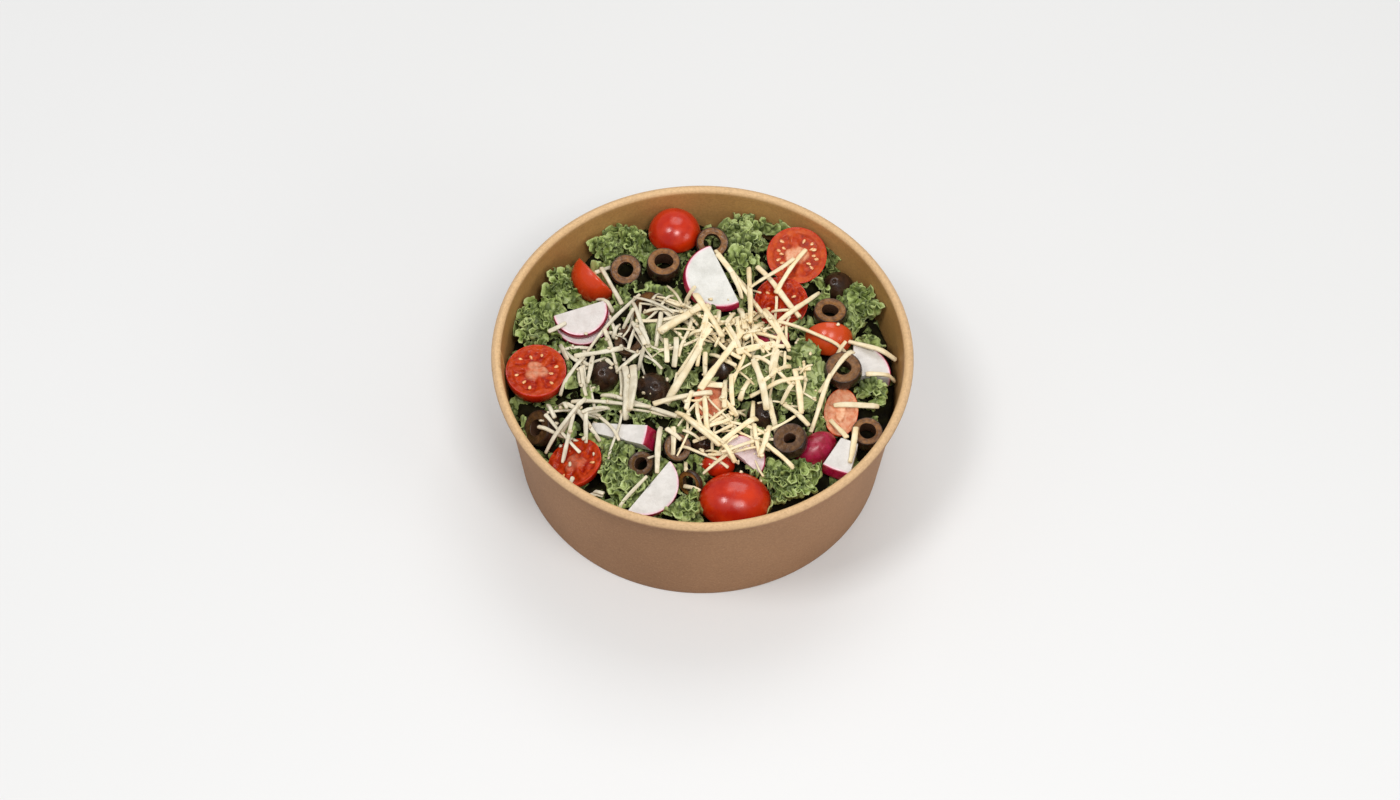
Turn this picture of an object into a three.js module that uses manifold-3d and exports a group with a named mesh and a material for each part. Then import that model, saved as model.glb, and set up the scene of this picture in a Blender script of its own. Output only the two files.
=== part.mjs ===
// A kale salad in its round kraft-paper bowl.
//
// The bowl is one paper shell: a tapered wall, a rolled rim, and a bottom disc set up inside a
// folded foot. It is filled to a little below the rim with curly kale, modelled as one heap out
// to its uneven outline. Halved cherry tomatoes, pitted black olives cut into rings and ends,
// and cut radishes lie half sunk in the heap, each in a pocket of its own.
//
// Units are millimetres, +Z is up, and the origin is at the middle of the foot, on the surface
// that the bowl stands on. -Y is the front, the side seen in a photograph from above.

import * as THREE from "three";
import { mergeVertices } from "three/addons/utils/BufferGeometryUtils.js";
import Module from "manifold-3d";

const wasm = await Module();
wasm.setup();

// ---- Driving dimensions -------------------------------------------------------------------

const RIM_RADIUS = 92; // outside of the rolled rim
const BOWL_HEIGHT = 70;
const FOOT_RADIUS = 81; // outside of the wall where it stands
const PAPER = 0.6; // thickness of the wall
const BEAD_RADIUS = 2.1; // section of the rolled rim
const FOOT_HEIGHT = 6; // how far the bottom disc is set up inside the wall
const FOOT_PLIES = 3; // wall, folded hem and the disc's own flange
const GAP = 0.35; // clearance between touching pieces

const HEAP_CROWN = 57.5; // height of the kale in the middle
const HEAP_FALL = 10; // how much lower the kale lies at the wall
const HEAP_BUMP = 1.6; // unevenness of its surface

const BOWL_SEGMENTS = 56;
const HEAP_SEGMENTS = 40;
const DOME_SEGMENTS = 12;
const OLIVE_SEGMENTS = 10;

// ---- Helpers ------------------------------------------------------------------------------

const radians = THREE.MathUtils.degToRad;

// A profile of [radius, height] points turned about +Z.
function turned(profile, segments = DOME_SEGMENTS) {
  const points = profile.map(([radius, height]) => new THREE.Vector2(radius, height));
  return new THREE.LatheGeometry(points, segments).rotateX(Math.PI / 2);
}

// A flat outline given thickness, centred on z = 0.
function slab(outline, thickness, curveSegments) {
  const options = { depth: thickness, bevelEnabled: false, curveSegments };
  return new THREE.ExtrudeGeometry(outline, options).translate(0, 0, -thickness / 2);
}

function toSolid(geometry) {
  const bare = new THREE.BufferGeometry();
  bare.setAttribute("position", geometry.getAttribute("position"));
  if (geometry.index) bare.setIndex(geometry.index);
  const merged = mergeVertices(bare, 1e-3);
  return new wasm.Manifold(
    new wasm.Mesh({
      numProp: 3,
      vertProperties: merged.attributes.position.array,
      triVerts: new Uint32Array(merged.index.array),
    }),
  );
}

function toGeometry(solid) {
  const { vertProperties, triVerts } = solid.getMesh();
  const geometry = new THREE.BufferGeometry();
  geometry.setAttribute("position", new THREE.BufferAttribute(new Float32Array(vertProperties), 3));
  geometry.setIndex(new THREE.BufferAttribute(new Uint32Array(triVerts), 1));
  geometry.computeVertexNormals();
  return geometry;
}

// The position and turn of a topping. Its own +Z leans from upright by `lean` towards the
// heading `toward`, and its own +X would point along `facing` if it didn't lean. Headings are
// degrees anticlockwise from +X, seen from above, so -90 is towards the front.
function pose({ at, lean = 0, toward = -90, facing = 0 }) {
  const up = new THREE.Vector3(0, 0, 1);
  const side = new THREE.Vector3(0, 1, 0);
  const turn = new THREE.Quaternion()
    .setFromAxisAngle(up, radians(toward))
    .multiply(new THREE.Quaternion().setFromAxisAngle(side, radians(lean)))
    .multiply(new THREE.Quaternion().setFromAxisAngle(up, radians(facing - toward)));
  return new THREE.Matrix4().compose(new THREE.Vector3(...at), turn, new THREE.Vector3(1, 1, 1));
}

// ---- Materials ----------------------------------------------------------------------------

const finish = (color, roughness) =>
  new THREE.MeshStandardMaterial({ color, roughness, metalness: 0 });

const kraftPaper = finish(0xa27a5c, 0.75);
const kaleLeaf = finish(0x677a3c, 0.6);
const tomato = finish(0xb83212, 0.2);
const oliveSkin = finish(0x4a3226, 0.3);
const radishFlesh = finish(0xe9e2e2, 0.4);
const radishSkin = finish(0xa3163f, 0.35);

// ---- Bowl ---------------------------------------------------------------------------------

// The paper is rolled outwards, so the inside of the wall runs straight up into the rim.
const beadCentre = { radius: RIM_RADIUS - BEAD_RADIUS, height: BOWL_HEIGHT - BEAD_RADIUS };
const wallTopRadius = beadCentre.radius - BEAD_RADIUS + PAPER; // outside of the wall there

function wallOutside(height) {
  return THREE.MathUtils.mapLinear(height, 0, beadCentre.height, FOOT_RADIUS, wallTopRadius);
}

const wallInside = (height) => wallOutside(height) - PAPER;

function bowlGeometry() {
  const footInside = wallOutside(0) - FOOT_PLIES * PAPER;
  const profile = [
    [0, FOOT_HEIGHT],
    [footInside, FOOT_HEIGHT],
    [footInside, PAPER / 2],
    [footInside + PAPER / 2, 0],
    [FOOT_RADIUS - PAPER / 2, 0],
    [FOOT_RADIUS, PAPER / 2],
  ];
  // The rim leaves the outside of the wall low down and comes round to its inside.
  const leaves = -135;
  const returns = 180;
  const steps = 7;
  for (let i = 0; i <= steps; i += 1) {
    const angle = radians(THREE.MathUtils.lerp(leaves, returns, i / steps));
    profile.push([
      beadCentre.radius + BEAD_RADIUS * Math.cos(angle),
      beadCentre.height + BEAD_RADIUS * Math.sin(angle),
    ]);
  }
  const bottomTop = FOOT_HEIGHT + PAPER;
  profile.push([wallInside(bottomTop), bottomTop], [0, bottomTop]);
  return turned(profile, BOWL_SEGMENTS);
}

// ---- Toppings -----------------------------------------------------------------------------
// Each function takes its sizes and `grow`, the clearance added all round when the same shape
// cuts its pocket in the kale.

// A round fruit or root cut across: cut face at z = 0 facing +Z, the skin's dome below it.
// `long` and `wide` are its half widths where it is widest, and `past` says by how many
// degrees of its curve the cut went past that widest place.
function cutDome({ long, wide, depth, past = 0 }, grow = 0) {
  const steps = 4;
  const start = Math.sin(radians(past));
  const profile = [[0, grow]];
  for (let i = 0; i <= steps; i += 1) {
    const angle = radians(THREE.MathUtils.lerp(-past, 90, i / steps));
    const drop = (depth + grow) * ((Math.sin(angle) + start) / (1 + start));
    profile.push([i === steps ? 0 : Math.cos(angle), i === 0 ? grow : -drop]);
  }
  return turned(profile.reverse()).scale(long + grow, wide + grow, 1);
}

// A cut dome halved again: a second cut face at x = 0 facing -X.
function cutQuarter(sizes, grow = 0) {
  const dome = toSolid(cutDome(sizes, grow));
  const reach = 4 * sizes.long;
  const keep = new THREE.BoxGeometry(reach, reach, reach).translate(reach / 2 - grow, 0, 0);
  return toGeometry(dome.intersect(toSolid(keep)));
}

// A slice across a pitted olive, centred on z = 0. Its pocket is cut with no peg up the bore.
function oliveRing({ radius, bore, height }, grow = 0) {
  const top = height / 2 + grow;
  const cut = radius * 0.93 + grow; // radius where the knife went through
  const outside = [
    [cut, -top],
    [radius + grow, 0],
    [cut, top],
  ];
  const hole = [
    [bore, top],
    [bore, -top],
  ];
  if (grow > 0) return turned([[0, -top], ...outside, [0, top]], OLIVE_SEGMENTS);
  return turned([...outside, ...hole, outside[0]], OLIVE_SEGMENTS);
}

// The end of a pitted olive: cut face at z = 0 facing -Z, a dome above it, and the small dent
// where the stone was pushed out.
function oliveEnd({ radius, height }, grow = 0) {
  const dome = [
    [radius + grow, -grow],
    [radius * 1.02 + grow, height * 0.25],
    [radius * 0.86 + grow, height * 0.66],
    [radius * 0.52 + grow, height * 0.93 + grow],
  ];
  const dent = [
    [radius * 0.22, height],
    [0, height * 0.72],
  ];
  const top = grow > 0 ? [[0, height + grow]] : dent;
  return turned([[0, -grow], ...dome, ...top], OLIVE_SEGMENTS);
}

// A round slice of radish cut straight across. The cut edge lies on the Y axis and the skin
// bulges along +X to `height`.
function radishSlice({ radius, height, thickness }, grow = 0) {
  const centre = height - radius;
  const half = Math.acos(-(centre + grow) / (radius + grow));
  const outline = new THREE.Shape();
  outline.absarc(centre, 0, radius + grow, -half, half, false);
  outline.closePath();
  return slab(outline, thickness + 2 * grow, 10);
}

// A wedge of a radish slice, `sweep` degrees of skin facing +X. Its corner is cut off at the
// radius `from`, and the middle of that cut, or else the corner, is at the origin.
function radishWedge({ radius, sweep, thickness, from = 0 }, grow = 0) {
  const half = radians(sweep / 2);
  const back = grow / Math.sin(half); // how far the corner moves back as both sides grow
  const corner = -from * Math.cos(half) - back;
  const bluntHalf = (-grow - corner) * Math.tan(half);
  const outline = new THREE.Shape();
  outline.absarc(corner, 0, radius + grow + back, -half, half, false);
  outline.lineTo(-grow, bluntHalf);
  if (bluntHalf > 0) outline.lineTo(-grow, -bluntHalf);
  outline.closePath();
  return slab(outline, thickness + 2 * grow, 8);
}

const dome = (long, wide, depth, past = 0) => ({ long, wide, depth, past });
const ring = (radius, bore, height) => ({ radius, bore, height });
const end = (radius, height) => ({ radius, height });
const slice = (radius, height, thickness) => ({ radius, height, thickness });
const wedge = (radius, sweep, thickness, from = 0) => ({ radius, sweep, thickness, from });

// Where each piece lies. A dome that leans past upright lies with its skin up.
const kinds = [
  {
    name: "tomato_half",
    make: cutDome,
    material: tomato,
    pieces: [
      { size: dome(11.8, 11.4, 11.5), at: [-13.9, 73.2, 56.4], lean: 176, toward: -90 },
      { size: dome(13.4, 13, 9.4), at: [41, 60, 60.2], lean: 16, toward: -90 },
      { size: dome(11.9, 11.9, 12.2, 10), at: [-47.5, 49.6, 54.8], lean: 65, toward: 40 },
      { size: dome(13.6, 14.6, 13, 14), at: [-72.4, -5.2, 59.2], lean: 3, toward: 100 },
      { size: dome(12.2, 11.8, 9), at: [-54, -50.6, 56], lean: 20, toward: 175 },
      { size: dome(15.5, 13.2, 11.2), at: [15.3, -67, 53], lean: 176, toward: 90 },
      { size: dome(12.6, 11.8, 9), at: [34.4, 36.2, 57], lean: 13, toward: -60, facing: 60 },
      { size: dome(7.4, 11.6, 8), at: [60.8, -20.6, 55], lean: 8, toward: -90, facing: -6 },
      { size: dome(7.2, 5.8, 6.6), at: [8, -49, 53.8], lean: 176, toward: 90 },
    ],
  },
  {
    name: "tomato_quarter",
    make: cutQuarter,
    material: tomato,
    pieces: [
      { size: dome(10.5, 10.6, 11), at: [55.6, 20.2, 53], lean: 176, toward: -90, facing: 90 },
      { size: dome(13, 11.5, 10.5), at: [9.5, -21, 58.6], lean: 18, toward: 0, facing: 168 },
    ],
  },
  {
    name: "olive_ring",
    make: oliveRing,
    material: oliveSkin,
    pieces: [
      { size: ring(7.2, 3.3, 5), at: [-35, 52, 56.8], lean: 27, toward: -90 },
      { size: ring(7.8, 3.9, 8), at: [-18.2, 54.4, 57.2], lean: 4, toward: -90 },
      { size: ring(7.4, 3.6, 4.6), at: [3.2, 65.7, 60], lean: 26, toward: -80 },
      { size: ring(7.6, 3.4, 6), at: [56.1, 31.2, 55.6], lean: 4, toward: 90 },
      { size: ring(8.4, 3.4, 6), at: [61.6, -2.8, 60.8], lean: 5, toward: -120 },
      { size: ring(7.2, 3.6, 6.5), at: [72, -31.7, 54.3], lean: 4, toward: -90 },
      { size: ring(7.8, 2.4, 6), at: [38.6, -40.4, 60.8], lean: 12, toward: -165 },
      { size: ring(6.2, 2.8, 5), at: [-24.8, -50.2, 53.8], lean: 20, toward: -150 },
      { size: ring(8, 3.6, 6), at: [-24, 31.5, 55.8], lean: 42, toward: 190 },
      { size: ring(6.4, 3, 4), at: [-10, -42.5, 57], lean: 30, toward: -70 },
      { size: ring(6, 3.4, 2.6), at: [-3.8, -59.4, 55.4], lean: 64, toward: -130 },
      { size: ring(8, 3.6, 6), at: [-31, 13, 56.2], lean: 24, toward: -160 },
      { size: ring(8, 3.4, 8), at: [-68.4, -31.6, 53], lean: 48, toward: 205 },
    ],
  },
  {
    name: "olive_end",
    make: oliveEnd,
    material: oliveSkin,
    pieces: [
      { size: end(8.2, 9), at: [-21.4, -11, 53], lean: 20, toward: -60 },
      { size: end(7, 8), at: [-42.6, -3.5, 53], lean: 24, toward: -110 },
      { size: end(7, 8), at: [9, 1, 54.2], lean: 14, toward: 120 },
      { size: end(7, 8), at: [59.8, 51.4, 48], lean: 20, toward: -140 },
      { size: end(5.6, 7.4), at: [1.2, -37.8, 52.4], lean: 24, toward: -100 },
      { size: end(7, 8), at: [26.6, -22.6, 52], lean: 24, toward: -60 },
    ],
  },
  {
    name: "radish_slice",
    make: radishSlice,
    material: radishFlesh,
    pieces: [
      { size: slice(17, 19, 3), at: [9.2, 47, 61.4], lean: 8, toward: -90, facing: -155 },
      { size: slice(15.6, 12.4, 3.4), at: [-21.8, -63.6, 57.6], lean: 12, toward: -60, facing: -35 },
      { size: slice(12.5, 13.5, 3.2), at: [-54.6, 27.2, 60.6], lean: 16, toward: -100, facing: -72 },
      { size: slice(12.5, 13.5, 3.2), at: [-53.6, 25.9, 56.3], lean: 16, toward: -100, facing: -72 },
      { size: slice(11, 10.5, 3), at: [17.4, -48.6, 58], lean: 16, toward: -90, facing: 52 },
      { size: slice(8.5, 7.5, 5), at: [29.6, 15.6, 57.6], lean: 48, toward: 95, facing: -92 },
    ],
  },
  {
    name: "radish_wedge",
    make: radishWedge,
    material: radishFlesh,
    pieces: [
      { size: wedge(52, 10.4, 7.6, 24), at: [-46.4, -33, 54.7], lean: 20, toward: -140, facing: -14 },
      { size: wedge(17, 92, 7), at: [65.6, -1.6, 53.1], lean: 3, toward: -60, facing: 42 },
      { size: wedge(42.6, 17.8, 5, 25.9), at: [64.2, -38.8, 57.6], lean: 5, toward: -112, facing: -112 },
    ],
  },
  {
    name: "radish_half",
    make: cutDome,
    material: radishSkin,
    pieces: [
      { size: dome(10.2, 6.8, 8.4), at: [50, -38.8, 51.4], lean: 172, toward: 40, facing: 40 },
    ],
  },
];

// ---- Kale ---------------------------------------------------------------------------------

// Height of the heap's surface: flat in the middle, falling away near the wall, with bumps a
// couple of leaves across.
function heapHeight(x, y) {
  const reach = Math.hypot(x, y) / wallInside(HEAP_CROWN);
  const bumps = Math.sin(x / 6.1 + 1.3) * Math.cos(y / 5.3) + Math.sin((x + y) / 9.7) * 0.6;
  return HEAP_CROWN - HEAP_FALL * reach ** 4 + HEAP_BUMP * bumps;
}

// The heap as rings of vertices: up the wall, then over the top to the middle.
function heapGeometry() {
  const floor = FOOT_HEIGHT + PAPER + GAP;
  const clear = GAP + 0.3; // the wall is a polygon, so its flats come in a little
  const topRings = 8;
  const positions = [0, 0, floor];
  const ringAt = (radius, height) => {
    for (let i = 0; i < HEAP_SEGMENTS; i += 1) {
      const angle = (i / HEAP_SEGMENTS) * 2 * Math.PI;
      const x = radius * Math.cos(angle);
      const y = radius * Math.sin(angle);
      positions.push(x, y, height ?? heapHeight(x, y));
    }
  };
  const edge = wallInside(HEAP_CROWN - HEAP_FALL - 2 * HEAP_BUMP) - clear;
  ringAt(wallInside(floor) - clear, floor);
  for (let i = topRings; i >= 1; i -= 1) ringAt((edge * i) / topRings);
  positions.push(0, 0, heapHeight(0, 0));

  const rings = topRings + 1;
  const last = 1 + rings * HEAP_SEGMENTS;
  const corner = (ringIndex, i) => 1 + ringIndex * HEAP_SEGMENTS + (i % HEAP_SEGMENTS);
  const triangles = [];
  for (let i = 0; i < HEAP_SEGMENTS; i += 1) {
    triangles.push(0, corner(0, i + 1), corner(0, i));
    triangles.push(last, corner(rings - 1, i), corner(rings - 1, i + 1));
    for (let k = 0; k < rings - 1; k += 1) {
      triangles.push(corner(k, i), corner(k, i + 1), corner(k + 1, i));
      triangles.push(corner(k, i + 1), corner(k + 1, i + 1), corner(k + 1, i));
    }
  }
  const geometry = new THREE.BufferGeometry();
  geometry.setAttribute("position", new THREE.Float32BufferAttribute(positions, 3));
  geometry.setIndex(triangles);
  return geometry;
}

// The heap with a pocket for each topping. Crumbs that the cuts leave loose are dropped.
function kaleWithPockets() {
  let heap = toSolid(heapGeometry());
  for (const { make, pieces } of kinds) {
    for (const piece of pieces) {
      const cutter = make(piece.size, GAP).applyMatrix4(pose(piece));
      heap = heap.subtract(toSolid(cutter));
    }
  }
  const bodies = heap.decompose().sort((a, b) => b.volume() - a.volume());
  return toGeometry(bodies[0]);
}

// ---- The salad ----------------------------------------------------------------------------

const salad = new THREE.Group();

function add(name, geometry, material) {
  const mesh = new THREE.Mesh(geometry, material);
  mesh.name = name;
  salad.add(mesh);
  return mesh;
}

add("bowl", bowlGeometry(), kraftPaper);
add("kale", kaleWithPockets(), kaleLeaf);
for (const { name, make, material, pieces } of kinds) {
  pieces.forEach((piece, index) => {
    const mesh = add(`${name}_${index + 1}`, make(piece.size), material);
    mesh.applyMatrix4(pose(piece));
  });
}

export default salad;
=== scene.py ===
# %% [markdown]
# # A kale salad in a kraft-paper bowl
# A takeaway bowl holds curly kale, and on it lie halved cherry tomatoes, olive rings, cut
# radishes and shredded cheese. A plain CAD model says where each of them is. This lesson makes
# what the eye sees: the rolled paper, the ruffled leaves, the seeds in the tomatoes and every
# shred of cheese. Shapes are worked out in millimetres, as they are thought of in the kitchen,
# and become metres, Blender's own unit, when a piece is made. +Z is up and -Y is the front.

# %% Load the frame
import math

import bpy
import numpy as np
from mathutils import Matrix, Vector
from mathutils.bvhtree import BVHTree


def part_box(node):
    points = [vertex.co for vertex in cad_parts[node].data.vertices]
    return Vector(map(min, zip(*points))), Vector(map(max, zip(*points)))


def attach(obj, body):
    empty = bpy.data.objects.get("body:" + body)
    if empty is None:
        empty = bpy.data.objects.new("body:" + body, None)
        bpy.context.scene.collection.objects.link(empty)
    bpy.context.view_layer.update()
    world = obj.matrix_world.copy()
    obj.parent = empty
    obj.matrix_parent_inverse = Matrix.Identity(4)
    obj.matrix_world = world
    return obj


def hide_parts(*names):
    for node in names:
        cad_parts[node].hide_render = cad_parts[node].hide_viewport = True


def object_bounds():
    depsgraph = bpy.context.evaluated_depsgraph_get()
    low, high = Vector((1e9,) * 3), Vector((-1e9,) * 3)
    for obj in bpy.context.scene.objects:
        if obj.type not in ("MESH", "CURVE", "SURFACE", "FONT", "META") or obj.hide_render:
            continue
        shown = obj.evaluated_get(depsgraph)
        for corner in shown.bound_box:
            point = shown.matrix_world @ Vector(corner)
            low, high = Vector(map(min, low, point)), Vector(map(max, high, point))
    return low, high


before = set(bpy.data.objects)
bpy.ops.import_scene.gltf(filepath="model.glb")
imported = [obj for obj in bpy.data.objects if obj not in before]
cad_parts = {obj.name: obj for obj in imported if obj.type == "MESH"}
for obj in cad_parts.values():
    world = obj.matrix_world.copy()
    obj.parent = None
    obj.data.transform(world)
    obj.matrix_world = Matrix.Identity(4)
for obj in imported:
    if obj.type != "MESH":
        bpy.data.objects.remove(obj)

cad_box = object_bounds()
MM = 0.001
low_corner, high_corner = (np.array(corner) / MM for corner in cad_box)
print("CAD box in mm:", low_corner.round(2), high_corner.round(2), len(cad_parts), "nodes")

# %% [markdown]
# ## Camera
# The picture looks down into the bowl from the front. Two things were read from it: how flat
# the rim's ellipse is, which gives the elevation, and how much smaller the foot looks than the
# rim, which gives the distance. The camera is aimed a little below the rim, so that the rim's
# middle comes where the picture has it, and it is rolled a little, as a hand-held one is.
# The same numbers turned round tell where a pixel lies on the salad, which is how the long
# shreds and the leaves are put in their places further down.

# %% Camera
IMAGE_SIZE = np.array([1400, 800])
RIM_CENTRE_PIXEL = np.array([702.5, 350])
FOCAL_PIXELS = 3455
CAMERA_DISTANCE = 1500  # mm, from the middle of the rim
CAMERA_ELEVATION = math.radians(54.7)
CAMERA_ROLL = math.radians(1.3)
SENSOR_WIDTH = 36  # mm

rim_centre = np.array([0, 0, high_corner[2]])
view_back = np.array([0, -math.cos(CAMERA_ELEVATION), math.sin(CAMERA_ELEVATION)])
view_right = np.array([1, 0, 0])
view_up = np.cross(view_back, view_right)

off_centre = (RIM_CENTRE_PIXEL - IMAGE_SIZE / 2) * (1, -1)
cosine, sine = math.cos(CAMERA_ROLL), math.sin(CAMERA_ROLL)
unrolled = np.array([[cosine, -sine], [sine, cosine]]) @ off_centre
aim = rim_centre - (view_right * unrolled[0] + view_up * unrolled[1]) * CAMERA_DISTANCE / FOCAL_PIXELS
eye = rim_centre + view_back * CAMERA_DISTANCE

looking = Vector(eye - aim).to_track_quat("Z", "Y").to_matrix()
looking = looking @ Matrix.Rotation(CAMERA_ROLL, 3, "Z")
camera = bpy.data.objects.new("camera", bpy.data.cameras.new("camera"))
camera.data.sensor_width = SENSOR_WIDTH
camera.data.lens = SENSOR_WIDTH * FOCAL_PIXELS / IMAGE_SIZE[0]
camera.matrix_world = Matrix.Translation(eye * MM) @ looking.to_4x4()
bpy.context.scene.collection.objects.link(camera)
bpy.context.scene.camera = camera


def seen_at(pixel, height):
    """The point in mm, at that height above the table, that the picture shows at a pixel."""
    across, down = (np.array(pixel) - IMAGE_SIZE / 2) / FOCAL_PIXELS
    ray = np.array(looking) @ (across, -down, -1)
    return eye + ray * (height - eye[2]) / ray[2]


print("camera at", eye.round(), "rim centre from its pixel:",
      seen_at(RIM_CENTRE_PIXEL, rim_centre[2]).round(2))

# %% [markdown]
# ## Light and floor
# Studio food pictures use soft lights, so that nothing has a hard shadow. A pale world
# lights every side. The brightest area light stands in front on the right, so that the bowl's
# left side falls into shade. Another on the left gives the tomatoes their second highlight. A
# third, the largest, hangs behind the bowl and draws the far leaves out of the dark. A weak low
# one on the right only reaches the outside of the bowl there, because the bowl's own wall keeps
# it off most of the food. The floor is one pale sheet, much larger than the view.

# %% Light and floor
def srgb(red, green, blue):
    """A colour read off a screen as 0-255, as the linear numbers that Blender mixes."""
    return (*(((c / 255 + 0.055) / 1.055) ** 2.4 for c in (red, green, blue)), 1.0)


def add_area_light(name, azimuth, elevation, distance, size, power, colour):
    """A square soft light that faces the salad. Azimuth 0 is the front and 90 the right. The
    distance and the size are in metres and the power in watts."""
    light = bpy.data.lights.new(name, "AREA")
    light.size = size
    light.energy = power
    light.color = colour
    lamp = bpy.data.objects.new(name, light)
    turn, rise = math.radians(azimuth), math.radians(elevation)
    heading = Vector((math.sin(turn) * math.cos(rise), -math.cos(turn) * math.cos(rise), math.sin(rise)))
    lamp.location = heading * distance
    lamp.rotation_euler = heading.to_track_quat("Z", "Y").to_euler()
    bpy.context.scene.collection.objects.link(lamp)


WHITE = (1, 1, 1)
WARM_WHITE = (1, 0.99, 0.975)
WORLD_STRENGTH = 0.4
FLOOR_SIZE = 8  # metres

add_area_light("window", azimuth=24, elevation=62, distance=1.7, size=0.5, power=10, colour=WARM_WHITE)
add_area_light("side_light", azimuth=-62, elevation=64, distance=1.7, size=0.4, power=8, colour=WHITE)
add_area_light("back_light", azimuth=170, elevation=60, distance=1.6, size=0.9, power=6, colour=WHITE)
add_area_light("low_light", azimuth=62, elevation=22, distance=1.7, size=0.6, power=3.5, colour=WARM_WHITE)
world = bpy.data.worlds.new("studio")
world.use_nodes = True
background = world.node_tree.nodes["Background"]
background.inputs["Color"].default_value = (*WHITE, 1)
background.inputs["Strength"].default_value = WORLD_STRENGTH
bpy.context.scene.world = world
bpy.context.scene.view_settings.view_transform = "Standard"

bpy.ops.mesh.primitive_plane_add(size=FLOOR_SIZE)
floor = bpy.context.object
floor.name = "floor"

# %% [markdown]
# ## Small tools for finishes
# A material is a tree of nodes. These helpers keep the trees readable: `add_node` makes a node
# and fills its inputs with values or with other nodes' outputs, `blend` mixes two colours by a
# mask, `ramp` turns a range of numbers into a smooth mask, and `trait` reads a number that the
# mesh carries on each vertex, such as how near the margin of its leaf it is.

# %% Node helpers
def plug(tree, value, socket):
    """Links another node's output to a socket, or sets the socket's own value."""
    if isinstance(value, bpy.types.NodeSocket):
        tree.links.new(value, socket)
    else:
        socket.default_value = value


def add_node(tree, kind, inputs=None, **settings):
    node = tree.nodes.new("ShaderNode" + kind)
    for name, value in settings.items():
        setattr(node, name, value)
    for name, value in (inputs or {}).items():
        plug(tree, value, node.inputs[name])
    return node


def blend(tree, mask, low, high, mode="MIX"):
    """The colour that goes from low, where the mask is 0, to high, where it is 1."""
    node = add_node(tree, "Mix", data_type="RGBA", blend_type=mode)
    factor, first, second, mixed = 0, 6, 7, 2  # the sockets that a colour mix uses
    plug(tree, mask, node.inputs[factor])
    plug(tree, low, node.inputs[first])
    plug(tree, high, node.inputs[second])
    return node.outputs[mixed]


def calculate(tree, operation, *values):
    node = add_node(tree, "Math", operation=operation)
    for socket, value in zip(node.inputs, values):
        plug(tree, value, socket)
    return node.outputs[0]


def ramp(tree, value, low, high):
    """A smooth mask: 0 where the value is low, 1 where it is high."""
    limits = {"Value": value, "From Min": low, "From Max": high}
    return add_node(tree, "MapRange", limits, interpolation_type="SMOOTHSTEP").outputs[0]


def trait(tree, name):
    return add_node(tree, "Attribute", attribute_name=name).outputs["Fac"]


def place_in_space(tree):
    return add_node(tree, "TexCoord").outputs["Object"]


def new_group(name, inputs, outputs):
    """A shader node group, with what its inner nodes read from and write to."""
    group = bpy.data.node_groups.new(name, "ShaderNodeTree")
    for title, kind, value in inputs:
        socket = group.interface.new_socket(title, in_out="INPUT", socket_type="NodeSocket" + kind)
        if value is not None:
            socket.default_value = value
    for title, kind in outputs:
        group.interface.new_socket(title, in_out="OUTPUT", socket_type="NodeSocket" + kind)
    given = group.nodes.new("NodeGroupInput").outputs
    result = group.nodes.new("NodeGroupOutput").inputs
    return group, given, result


def use_group(tree, group, **inputs):
    """Places a group in a tree. An underscore in a keyword stands for a space."""
    node = tree.nodes.new("ShaderNodeGroup")
    node.node_tree = group
    for name, value in inputs.items():
        plug(tree, value, node.inputs[name.replace("_", " ")])
    return node.outputs


# %% [markdown]
# ## Effects that several finishes share
# Nothing on a plate has one flat colour. `Mottle` clouds a finish between two colours. `Grain`
# is a height for fine bumps, coarse and fine together. `Moisture` varies the roughness, because
# dressing and juice wet a surface in patches. Each is a group, built once, with its own values
# wherever it is placed.

# %% Mottle
mottle, given, result = new_group(
    "Mottle",
    [("Vector", "Vector", None), ("Scale", "Float", 100.0), ("Contrast", "Float", 2.0),
     ("Dark", "Color", (0, 0, 0, 1)), ("Light", "Color", (1, 1, 1, 1))],
    [("Color", "Color")])
clouds = add_node(mottle, "TexNoise", {"Vector": given["Vector"], "Scale": given["Scale"],
                                       "Detail": 3.0, "Roughness": 0.6})
centred = calculate(mottle, "SUBTRACT", clouds.outputs["Fac"], 0.5)
stretched = calculate(mottle, "MULTIPLY_ADD", centred, given["Contrast"], 0.5)
cloud_mask = ramp(mottle, stretched, 0.0, 1.0)
plug(mottle, blend(mottle, cloud_mask, given["Dark"], given["Light"]), result["Color"])

# %% Grain
grain, given, result = new_group(
    "Grain",
    [("Vector", "Vector", None), ("Scale", "Float", 500.0)],
    [("Height", "Float")])
coarse = add_node(grain, "TexNoise", {"Vector": given["Vector"], "Scale": given["Scale"], "Detail": 2.0})
finer_scale = calculate(grain, "MULTIPLY", given["Scale"], 3.7)
finer = add_node(grain, "TexNoise", {"Vector": given["Vector"], "Scale": finer_scale, "Detail": 1.0})
plug(grain, calculate(grain, "MULTIPLY_ADD", finer.outputs["Fac"], 0.4, coarse.outputs["Fac"]),
     result["Height"])

# %% Moisture
moisture, given, result = new_group(
    "Moisture",
    [("Vector", "Vector", None), ("Scale", "Float", 200.0), ("Wet", "Float", 0.2), ("Dry", "Float", 0.6)],
    [("Roughness", "Float")])
patches = add_node(moisture, "TexNoise", {"Vector": given["Vector"], "Scale": given["Scale"], "Detail": 1.0})
dry_share = ramp(moisture, patches.outputs["Fac"], 0.35, 0.65)
drier = calculate(moisture, "SUBTRACT", given["Dry"], given["Wet"])
plug(moisture, calculate(moisture, "MULTIPLY_ADD", dry_share, drier, given["Wet"]), result["Roughness"])
print("shared effects:", [g.name for g in bpy.data.node_groups])


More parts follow.
